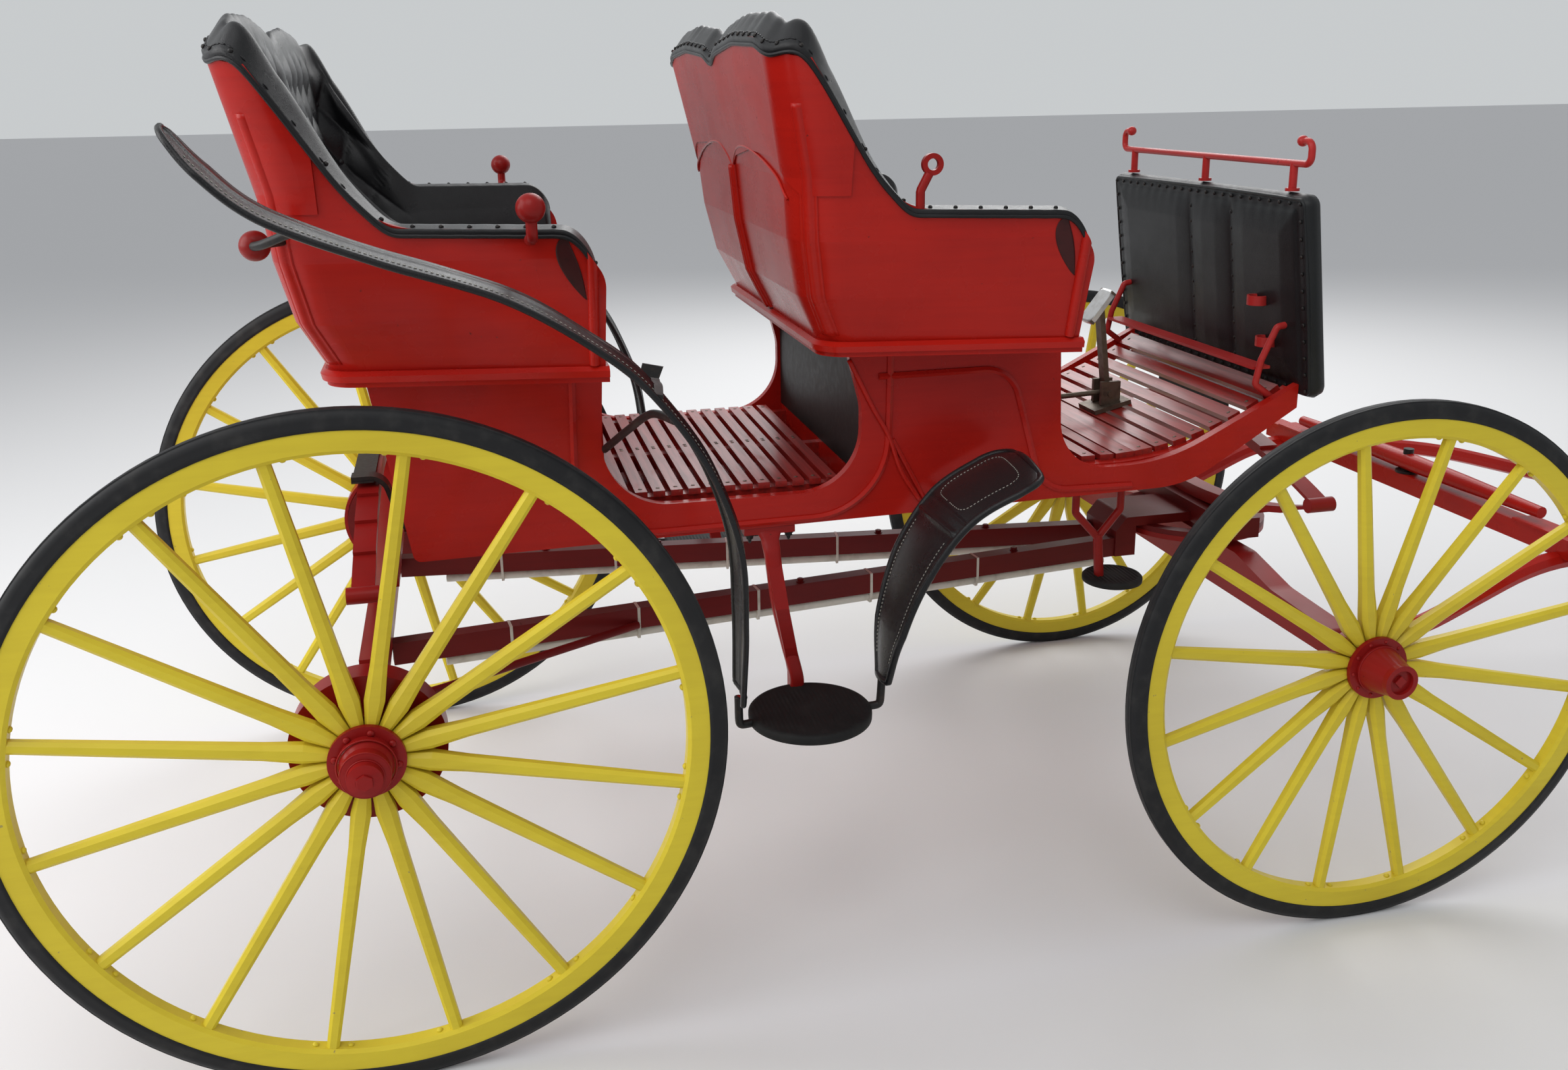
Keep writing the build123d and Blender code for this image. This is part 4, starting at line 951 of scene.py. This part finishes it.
def guardGrid(kind):
    # s runs down the guard, t across it: a smooth line through the rows, its width read between them and
    # crowned by 1 - t squared; gives the upper face and its outward directions
    axleX, rows = guardRows[kind]
    rows = np.array(rows)
    knots = np.stack([axleX + rows[:, 0], rows[:, 1] - wheelY, rows[:, 2]], axis=1)
    centre = smoothPath(knots, guardForm["steps"])
    nearest = [np.argmin(np.linalg.norm(centre - knot, axis=1)) for knot in knots]
    steps = np.gradient(centre, axis=0)
    along = unit(steps)
    across = unit(np.array([0, 1.0, 0]) - along * along[:, 1:2])
    normal = np.cross(across, along)
    normal *= np.sign(normal[len(normal) // 4, 2])
    # rounded corners at the top end, the foot stays as wide as the iron
    order = np.arange(guardForm["steps"])
    r = guardForm["corner"][kind]
    near = np.clip(1 - order * np.linalg.norm(steps, axis=1, keepdims=True).mean() / r, 0, 1)
    half = np.interp(order, nearest, rows[:, 3]) / 2 - r * (1 - np.sqrt(1 - near**2)) * 0.98
    s, t = np.linspace(0, 1, len(order))[:, None], np.linspace(-1, 1, guardForm["across"])[None]
    rise = guardForm["crown"] * (1 - t**2) * np.minimum(half[:, None] / 0.055, 1.3)
    if kind == "splash":
        # welt across a third of the way down, the skin dished just below it
        welt, (weltRise, weltWide) = guardForm["welt"], guardForm["weltRise"]
        deep, after, wide = guardForm["groove"]
        flat = np.clip((0.93 - np.abs(t)) / 0.06, 0, 1)
        dish = guardForm["dish"] * smoothStep(s, welt, welt + 0.05) * (1 - smoothStep(s, 0.75, 0.95))
        rise = rise + weltRise * np.exp(-((s - welt) / weltWide)**2) * flat
        rise = rise - dish * flat
        rise = rise - deep * np.exp(-((s - welt + after) / wide)**2) * flat
    else:
        # two long ribs where the leather is drawn over the wires
        ribRise, ribAt, ribWide = guardForm["rib"]
        rise = rise + ribRise * np.exp(-((np.abs(t) - ribAt) / ribWide)**2)
        rise = rise + 0.0008 * np.sin(s * 52) * (1 - t**2)
    aside = (half[:, None] * t)[..., None]
    face = centre[:, None] + across[:, None] * aside + normal[:, None] * rise[..., None]
    return face, normal


def onGuard(face, normal, s, t):
    # points and outward directions at shares s down and t across the guard, read between its grid's points
    row, column = s * (face.shape[0] - 1), (np.asarray(t) + 1) / 2 * (face.shape[1] - 1)
    r, c = np.minimum(row.astype(int), face.shape[0] - 2), np.minimum(column.astype(int), face.shape[1] - 2)
    fr, fc = (row - r)[:, None], (column - c)[:, None]
    left, right = (face[r, k] * (1 - fr) + face[r + 1, k] * fr for k in (c, c + 1))
    return left * (1 - fc) + right * fc, normal[r]


def sewn(face, normal, s, t, gap):
    # evenly spaced places along a line given as shares, with the direction of the seam
    spot, up = onGuard(face, normal, np.asarray(s, float), np.asarray(t, float))
    length = np.concatenate([[0], np.cumsum(np.linalg.norm(np.diff(spot, axis=0), axis=1))])
    at = np.arange(gap, length[-1] - gap / 2, gap)
    spot, up = alongRim(spot, length, at), alongRim(up, length, at)
    return spot + up * 0.0003, unit(np.gradient(spot, axis=0)), up


def buildGuard(kind, side):
    # the right side's form, mirrored for the left: a sheet between the face and its underside
    face, normal = guardGrid(kind)
    name = f"{kind}Guard{hand[side]}"
    turned = mirrored if side > 0 else np.asarray
    under = face - normal[:, None] * guardForm["skin"]
    sheet = addLoft(name, turned(np.concatenate([face, under[:, ::-1]], axis=1)), "guardLeather")
    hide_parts(f"{kind}_guards")
    # the roll runs down both edges and across both ends
    inner = face.shape[1] - 2
    rim = np.concatenate([face[::-1, 0], face[0, 1:-1], face[:, -1], face[-1, -2:0:-1]])
    ups = [normal[::-1], np.repeat(normal[:1], inner, 0), normal, np.repeat(normal[-1:], inner, 0)]
    rim = rim - np.concatenate(ups) * 0.0015
    loop = resample(np.vstack([rim, rim[:1]]), 520)[:-1]
    roll = tubeGrid(loop, guardForm["roll"][kind], side=(0.3, 0.2, 1.0), sides=10)
    addLoft(f"{name}Roll", turned(roll), "guardLeather", wrapRows=True)
    spots, ways, ups = (turned(np.concatenate(parts)) for parts in zip(*guardSeams(kind, face, normal)))
    stitches(f"{name}Stitches", spots, ways, ups, *guardForm["stitch"], "thread")
    if kind == "rear":
        # clip with a folded tab where the two lengths of leather meet
        row = int(guardForm["clipAt"] * guardForm["steps"])
        t = np.linspace(-1.10, 1.10, 30)
        column = ((np.clip(t, -1, 1) + 1) / 2 * (face.shape[1] - 1)).round().astype(int)
        path = smoothPath((face[row, column] + normal[row] * 0.004)[::3], 30)
        clip = path[:, None] + np.array(guardForm["clip"])[None]
        addLoft(f"{name}Clip", turned(clip), "blackIron", smooth=False)
        shape = np.array(guardForm["tab"])
        tab = face[row, -4] + normal[row] * 0.006 + np.stack([shape, shape + guardForm["tabThick"]])
        addLoft(f"{name}Tab", turned(tab), "blackIron", smooth=False)


def guardSeams(kind, face, normal):
    # the rear guard has a row near either edge, the splash guard a round-cornered field above the welt and
    # a row down either side below it
    gap = guardForm["stitchGap"][kind]
    if kind == "rear":
        down = np.linspace(0.03, 0.97, 200)
        return [sewn(face, normal, down, np.full(200, side * guardForm["rearRow"]), gap) for side in hand]
    middle, tall, wide, power = guardForm["field"]
    down, across = roundBox(np.linspace(0, 2 * np.pi, 240), power)
    lines = [sewn(face, normal, middle + tall * down, wide * across, gap)]
    for side in hand:
        lines.append(sewn(face, normal, np.linspace(0.42, 0.93, 60),
                          np.full(60, side * guardForm["splashRow"]), gap))
    return lines


def addRod(name, points, radius, look, side):
    # a round rod through points given for the left side, x counted from the rear axle
    path = np.array(points) * [1, side, 1] + [rearX, 0, 0]
    addLoft(f"{name}{hand[side]}", tubeGrid(smoothPath(path, 40), radius, sides=14), look)


guardIrons = {
    # left side, in metres from the rear axle: the rear guard's stay to the seat and its lower one, and the
    # splash guard's
    "rearGuardStay": [(-0.062, 0.470, 1.395), (-0.100, 0.556, 1.398), (-0.080, 0.600, 1.404),
                      (-0.018, 0.644, 1.430)],
    "rearGuardFoot": [(0.437, 0.354, 0.981), (0.470, 0.455, 1.040), (0.500, 0.552, 1.090),
                      (0.527, 0.645, 1.098)],
    "splashStay": [(1.100, 0.354, 0.842), (1.086, 0.405, 0.850), (1.068, 0.450, 0.856),
                   (1.060, 0.472, 0.860)],
}
for side in hand:
    for kind in guardRows:
        buildGuard(kind, side)
    for name, points in guardIrons.items():
        addRod(name, points, guardForm["rod"], "blackIron", side)
    x, y, z = guardForm["ballPlace"]
    ball = ballGrid(-np.pi / 2, 18, 28) * guardForm["ball"] + [rearX + x, side * y, z]
    addLoft(f"rearGuardBall{hand[side]}", ball, "ironRed", slotName="black_leather")
print("guards done")

# wheels: round rubber over the plain tyre, rivets and nuts on the hubs, bolts inside the felloes
wheelForm = {
    # half the tyre's section, from the wall's foot to the tread: distance out, and height above the wheel's
    # radius
    "section": [(-0.0163, -0.0310), (-0.0166, -0.0240), (-0.0160, -0.0225), (-0.0162, -0.0140),
                (-0.0140, -0.0072), (-0.0104, -0.0022), (-0.0052, 0.0006), (0.0, 0.0012)],
    "felloeIn": 0.069, "spokes": 16, "bolt": (0.0058, 0.0058, 0.0052), "boltTurn": 0.055,
    # hubs: number of rivets, their circle and size; the nut's sides, distance out and size; each band's
    # radius and distance out
    "rear": {"rivets": 8, "flangeR": 0.0505, "rivet": 0.0062, "nutSides": 6, "nutOut": 0.0575,
             "nut": (0.0145, 0.0145, 0.0045), "bands": ((0.0465, 0.006), (0.0388, 0.0345), (0.0286, 0.0395))},
    "front": {"rivets": 10, "flangeR": 0.054, "rivet": 0.0062 * 0.62, "nutSides": 4, "nutOut": 0.0495,
              "nut": (0.0125, 0.0125, 0.0060), "bands": ((0.0462, -0.0046),)},
    "flangeOut": -0.0102, "band": 0.0016,
}
wheels = {f"{end}_{side}": (x, sign * wheelY, radius, sign)
          for end, x, radius in (("rear", rearX, 0.586), ("front", frontX, 0.528))
          for side, sign in (("left", 1), ("right", -1))}


def wheelPlace(wheel, radius, angle, out):
    # a place on a circle round the wheel's axle; out is counted outwards from the tyre's middle
    x, y, r, sign = wheels[wheel]
    place = np.broadcast_arrays(x + radius * np.sin(angle), y + sign * out, r + radius * np.cos(angle))
    return np.stack(place, axis=-1)


def buildWheelDetails(wheel):
    # a section swept round the axle for the tyre, then small fittings set on circles
    radius, sign = wheels[wheel][2:]
    body, hub = f"{wheel}_wheel", wheelForm[wheel.split("_")[0]]
    # tyre: straight walls leaning in to a round tread, a moulding line low on either wall
    lean = np.array(wheelForm["section"])
    section = np.vstack([lean, lean[-2::-1] * [-1, 1]])
    grid = wheelPlace(wheel, radius - 0.0006 + section[None, :, 1], circle(144)[:, None], section[None, :, 0])
    addLoft(f"{wheel}TyreRubber", grid, "tyreRubber", body, wrapRows=True)
    # bolts inside the felloe, two beside every other spoke and one beside the rest
    turn = (np.arange(wheelForm["spokes"]) + 0.5) * np.pi / (wheelForm["spokes"] / 2)
    off = wheelForm["boltTurn"]
    turn = np.concatenate([turn[::2] + off, turn[::2] - off, turn[1::2] + off])
    inner = radius - wheelForm["felloeIn"]
    spots = wheelPlace(wheel, inner + 0.0004, turn, 0.0)
    down = wheelPlace(wheel, inner - 0.01, turn, 0.0) - spots
    scatter(f"{wheel}FelloeBolts", domeTemplate(4, 10), spots, down, wheelForm["bolt"], "yellowPaint", body)
    # rivets on the outer hub flange
    turn = np.arange(hub["rivets"]) * 2 * np.pi / hub["rivets"] + 0.2
    spots = wheelPlace(wheel, hub["flangeR"], turn, wheelForm["flangeOut"])
    size = hub["rivet"]
    scatter(f"{wheel}HubRivets", domeTemplate(5, 14), spots, (0, sign, 0), (size, size, size * 0.85),
            "hubRed", body)
    # nut on the nose of the rear hubs, square nut deep in the front ones; thin turned bands on the barrel
    scatter(f"{wheel}HubNut", boltTemplate(hub["nutSides"], 1.0),
            wheelPlace(wheel, 0.0, np.zeros(1), hub["nutOut"]),
            (0, sign, 0), hub["nut"], "hubRed", body, smooth=False)
    for order, (r, out) in enumerate(hub["bands"]):
        ring = tubeGrid(wheelPlace(wheel, r, circle(72), out), wheelForm["band"], side=(0, 1, 0), sides=8)
        addLoft(f"{wheel}HubBand{order}", ring, "hubRed", body, wrapRows=True)


for wheel in wheels:
    buildWheelDetails(wheel)
print("wheels done")


# step pads: ribbed black rubber wrapped over the round plates
pads = {
    # x, y, z, radius and thickness
    "entryStep": (rearX + 0.780, 0.520, 0.486, 0.114, 0.016),
    "smallStep": (frontX - 0.366, 0.320, 0.612, 0.060, 0.012),
}
padRib = {"rise": 0.0011, "pitch": 0.0085, "bare": 0.007, "worn": 0.05}


def buildPad(name, side):
    # a profile turned round the plate's middle: flat top, round rim, and a short turn under the plate
    x, y, z, radius, thick = pads[name]
    half = thick / 2
    top = np.linspace((0.002, half + 0.0028), (radius - 0.006, half + 0.0026), 40)
    rim = [(radius - 0.001, half + 0.0012), (radius + 0.0020, half - 0.002), (radius + 0.0022, 0),
           (radius + 0.0018, -half + 0.001), (radius - 0.004, -half - 0.0016),
           (radius - 0.014, -half - 0.0014)]
    profile = np.concatenate([top, rim])
    away, lift = profile[:, :1], profile[:, 1:]
    px, py = away * np.cos(circle(160)), away * np.sin(circle(160))
    # ribs run across the carriage, worn lower in the middle
    ribs = padRib["rise"] * np.sin(px * 2 * np.pi / padRib["pitch"]) * (away < radius - padRib["bare"])
    ribs = ribs * smoothStep(np.hypot(px, py), 0, padRib["worn"])
    grid = np.stack([x + px, side * y + py, z + lift + ribs], axis=2)
    addLoft(f"{name}Pad{hand[side]}", grid, "padRubber")


for side in hand:
    for name in pads:
        buildPad(name, side)


# round front on the flat step irons, and the nuts under the body where they are bolted
ironForm = {
    # down the right iron: x from the step's middle, y, z, half its width
    "rows": [(-0.035, -0.346, 0.798, 0.026), (-0.035, -0.357, 0.780, 0.0165), (-0.034, -0.375, 0.750, 0.0145),
             (-0.028, -0.395, 0.660, 0.0135), (-0.012, -0.402, 0.576, 0.0130), (0.0, -0.414, 0.516, 0.0125),
             (0.0, -0.414, 0.492, 0.0125)],
    "stepX": 0.780, "over": 0.0012, "halfThick": 0.0108, "square": 0.55,
    "nuts": [(-0.073, 0.349, 0.7895), (0.004, 0.349, 0.7895)], "nut": (0.0075, 0.0075, 0.0085),
    "boltEnd": (0.0042, 0.0042, 0.010), "boltDown": 0.008,
}


def buildStepIron(side):
    # round-cornered section a little larger than the plain iron, level all the way down
    rows = np.array(ironForm["rows"])
    path = smoothPath(rows[:, :3] + [rearX + ironForm["stepX"], 0, 0], 60)
    half = np.interp(-path[:, 2], -rows[:, 2], rows[:, 3])[:, None] + ironForm["over"]
    boxX, boxY = roundBox(circle(32), ironForm["square"])
    ring = np.stack(np.broadcast_arrays(boxX[None] * half, boxY * ironForm["halfThick"], 0.0), axis=2)
    grid = path[:, None] + ring
    addLoft(f"stepIron{hand[side]}", mirrored(grid) if side > 0 else grid, "ironRed")
    spots = np.array(ironForm["nuts"]) * [1, side, 1] + [rearX + ironForm["stepX"], 0, 0]
    scatter(f"stepNuts{hand[side]}", boltTemplate(), spots, (0, 0, -1), ironForm["nut"], "blackIron",
            smooth=False)
    scatter(f"stepBoltEnds{hand[side]}", domeTemplate(4, 10), spots - [0, 0, ironForm["boltDown"]],
            (0, 0, -1), ironForm["boltEnd"], "blackIron")


for side in hand:
    buildStepIron(side)
print("steps done")


# black board inside the entry well, under the front seat
board = {"x": rearX + 0.9350, "half": 0.338, "low": 0.880, "top": 1.120, "thick": 0.0008}
boardCorners = [(-1, board["low"]), (1, board["low"]), (1, board["top"]), (-1, board["top"])]
boardRows = [[(board["x"] + off, y * board["half"], z) for y, z in boardCorners]
             for off in (0.0, board["thick"])]
addLoft("wellBoard", np.array(boardRows), "boardBlack", smooth=False)


# screws in the slats, over the bearers
floorForm = {
    "wellFirst": 0.455, "wellPitch": 0.03408, "wellSlats": 13, "wellTop": 0.882,
    "frontFirst": 1.362, "frontPitch": 0.041167, "frontSlats": 12, "level": 0.870, "riseX": 1.465,
    "riseR": 0.670, "thick": 0.012, "screw": 0.0042, "outerY": (-0.298, 0.298), "middleY": (-0.006, 0.006),
}


def slatScrews():
    # level in the well; ahead they climb with the floor's arc, whose slope's sine is past
    wellX = floorForm["wellFirst"] + floorForm["wellPitch"] * (np.arange(floorForm["wellSlats"]) + 0.5)
    aheadX = floorForm["frontFirst"] + floorForm["frontPitch"] * (np.arange(floorForm["frontSlats"]) + 0.5)
    past = np.maximum(aheadX - floorForm["riseX"], 0) / floorForm["riseR"]
    level = np.sqrt(1 - past**2)
    height = floorForm["level"] + floorForm["riseR"] * (1 - level)
    wellTops = np.stack([wellX, 0 * wellX, 0 * wellX + floorForm["wellTop"]], axis=1)
    aheadTops = np.stack([aheadX - floorForm["thick"] * past, 0 * past, height + floorForm["thick"] * level],
                         axis=1)
    wellUps = np.tile([(0.0, 0.0, 1.0)], (len(wellX), 1))
    aheadUps = np.stack([-past, 0 * past, level], axis=1)
    tops, ups = np.concatenate([wellTops, aheadTops]), np.concatenate([wellUps, aheadUps])
    spots, ways = [], []
    for y in floorForm["outerY"] + floorForm["middleY"]:
        # the middle pairs are in the well alone
        count = len(wellX) if y in floorForm["middleY"] else len(tops)
        spots.append(tops[:count] + [rearX, y, 0])
        ways.append(ups[:count])
    size = floorForm["screw"]
    scatter("slatScrews", domeTemplate(3, 10), np.concatenate(spots), np.concatenate(ways),
            (size, size, size * 0.28), "darkSteel")


slatScrews()


# thin straps that hold the brake pipes under the reaches, and bolt heads on top
strap = {
    "from": (0.022, 0.248, 0.582), "to": (1.6218, 0.054, 0.582), "shares": (0.14, 0.30, 0.46, 0.62, 0.78),
    # round the reach, then narrower round the pipe below it: half widths and heights from the reach's middle
    "half": 0.0180, "top": 0.0228, "waist": 0.022, "pipeHalf": 0.0122, "low": 0.0452, "wide": 0.0028,
    "boltAhead": 0.10, "boltTop": 0.022, "bolt": (0.0070, 0.0070, 0.007),
}


def buildStraps(side):
    # an outline square to the reach, carried a short way along it
    start, end = (np.array(strap[key]) * [1, side, 1] for key in ("from", "to"))
    way = (end - start) / np.linalg.norm(end - start)
    across = np.cross([0, 0, 1.0], way)
    half, pipeHalf, top, waist, low = (strap[key] for key in ("half", "pipeHalf", "top", "waist", "low"))
    outline = [(-half, top), (half, top), (half, -waist), (pipeHalf, -low), (-pipeHalf, -low),
               (-half, -waist)]
    heads = []
    for number, share in enumerate(strap["shares"]):
        middle = start + (end - start) * share + [rearX, 0, 0]
        ring = np.array([middle + across * a + np.array([0, 0, b]) for a, b in outline])
        rows = np.array([ring - way * strap["wide"], ring + way * strap["wide"]])
        addLoft(f"strap{hand[side]}{number}", rows, "conduitPale", smooth=False)
        heads.append(middle + way * strap["boltAhead"] + np.array([0, 0, strap["boltTop"]]))
    scatter(f"reachBolts{hand[side]}", boltTemplate(), heads, (0, 0, 1), strap["bolt"], "gearRed",
            smooth=False)


for side in hand:
    buildStraps(side)


# black rods from the step's pad up to the feet of the guards
padStays = {
    "rearFootStay": [(0.672, 0.5300, 0.486), (0.656, 0.5330, 0.486), (0.6455, 0.5353, 0.4875),
                     (0.6415, 0.5365, 0.494), (0.6405, 0.5380, 0.512), (0.640, 0.5400, 0.546)],
    "splashFootStay": [(0.888, 0.520, 0.486), (0.902, 0.520, 0.486), (0.9125, 0.520, 0.4875),
                       (0.9166, 0.520, 0.493), (0.9182, 0.520, 0.508), (0.920, 0.520, 0.5395)],
}
for side in hand:
    for name, points in padStays.items():
        addRod(name, points, 0.0078, "blackIron", side)


# thin painted rod down each side of the body, from under the seat to the splash guard
sideRod = [(0.902, 0.3640, 1.122), (0.9186, 0.3640, 1.0887), (0.9496, 0.3640, 1.0259),
           (0.9813, 0.3640, 0.9682), (1.0071, 0.3640, 0.8973), (1.0462, 0.3640, 0.8336)]
for side in hand:
    addRod("sideRod", sideRod, 0.0046, "redPaint", side)


# bright worn pad on the dark brake pedal
pedalPad = {
    "middle": (rearX + 1.588, 0, 1.13265), "lean": 38, "half": (0.0283, 0.0435), "thick": 0.0068,
    "square": 0.28,
}


def buildPedalPad():
    # a round-cornered plate with its edges eased, leaned about its middle
    boxY, boxZ = roundBox(circle(40), pedalPad["square"])
    lean = math.radians(pedalPad["lean"])
    rows = []
    for off, share in ((-1.0, 0.90), (-0.80, 1.0), (0.80, 1.0), (1.0, 0.90)):
        x, y = off * pedalPad["thick"] + 0 * boxY, share * pedalPad["half"][0] * boxY
        z = share * pedalPad["half"][1] * boxZ
        leaned = [x * math.cos(lean) + z * math.sin(lean), y, z * math.cos(lean) - x * math.sin(lean)]
        rows.append(np.stack(leaned, axis=1))
    addLoft("pedalPad", np.array(rows) + pedalPad["middle"], "padSteel", smooth=False)


buildPedalPad()
print("small fittings done")

# floor, light and camera
floor = bpy.data.objects.new("floor", bpy.data.meshes.new("floor"))
floor.data.from_pydata([(-60, -60, 0), (60, -60, 0), (60, 60, 0), (-60, 60, 0)], [], [(0, 1, 2, 3)])
bpy.context.scene.collection.objects.link(floor)
floorMaterial, floorTree, floorShader, _ = newMaterial("floorPale")
setShader(floorTree, floorShader, Base_Color=(0.74, 0.735, 0.73), Roughness=0.8)
floor.data.materials.append(floorMaterial)


def paleWorld():
    # soft sky light on the object; the camera, gloss and glass see a plain pale backdrop
    world = bpy.data.worlds.new("softStudio")
    bpy.context.scene.world = world
    world.use_nodes = True
    tree = world.node_tree
    soft = tree.nodes["Background"]
    soft.inputs["Color"].default_value = (0.92, 0.95, 1.0, 1)
    soft.inputs["Strength"].default_value = 0.50
    pale = tree.nodes.new("ShaderNodeBackground")
    pale.inputs["Color"].default_value = (0.58, 0.60, 0.61, 1)
    rays = tree.nodes.new("ShaderNodeLightPath")
    seen = Shade(tree, rays.outputs["Is Camera Ray"]) + Shade(tree, rays.outputs["Is Glossy Ray"])
    seen = seen + Shade(tree, rays.outputs["Is Transmission Ray"])
    mix = addNode(tree, "ShaderNodeMixShader", None,
                  {0: seen.math("MINIMUM", seen, 1.0), 1: Shade(tree, soft.outputs[0]),
                   2: Shade(tree, pale.outputs[0])})
    tree.links.new(mix.socket, tree.nodes["World Output"].inputs["Surface"])


paleWorld()


def addLamp(name, place, target, size, power):
    # a square lamp that faces its target
    lamp = bpy.data.objects.new(name, bpy.data.lights.new(name, "AREA"))
    lamp.data.size, lamp.data.energy = size, power
    lamp.location = place
    lamp.rotation_euler = (Vector(target) - Vector(place)).to_track_quat("-Z", "Y").to_euler()
    bpy.context.scene.collection.objects.link(lamp)


addLamp("keyLamp", (-2.5, -3.2, 5.0), (-0.4, 0, 0.8), 3.0, 75)
addLamp("fillLamp", (-5.5, -0.5, 3.0), (-0.6, 0, 1.0), 4.0, 180)
addLamp("backLamp", (1.5, 4.5, 5.0), (0, 0, 0.8), 5.0, 260)

# the frame's width and focal length in its own pixels, and how far the middle is moved
photo = {"width": 2324, "height": 1586, "focal": 1980, "acrossOff": -17, "downOff": -124}
view = {"place": (-1.597, -2.735, 1.621), "yaw": 12.87, "pitch": 15.30, "roll": 0.95}


def placeCamera():
    # looks along the yaw and pitch, then rolls about that line
    yaw, pitch, roll = (math.radians(view[key]) for key in ("yaw", "pitch", "roll"))
    ahead = Vector((math.sin(yaw) * math.cos(pitch), math.cos(yaw) * math.cos(pitch), -math.sin(pitch)))
    level = Vector((math.cos(yaw), -math.sin(yaw), 0))
    down = ahead.cross(level)
    right = math.cos(roll) * level + math.sin(roll) * down
    lower = math.cos(roll) * down - math.sin(roll) * level
    camera = bpy.data.objects.new("camera", bpy.data.cameras.new("camera"))
    bpy.context.scene.collection.objects.link(camera)
    turn = Matrix((right, -lower, -ahead)).transposed().to_4x4()
    camera.matrix_world = Matrix.Translation(view["place"]) @ turn
    camera.data.sensor_width = 36
    camera.data.lens = 36 * photo["focal"] / photo["width"]
    camera.data.shift_x = -photo["acrossOff"] / photo["width"]
    camera.data.shift_y = photo["downOff"] / photo["width"]
    bpy.context.scene.camera = camera


placeCamera()
bpy.context.scene.view_settings.view_transform = "Standard"

bpy.context.view_layer.update()
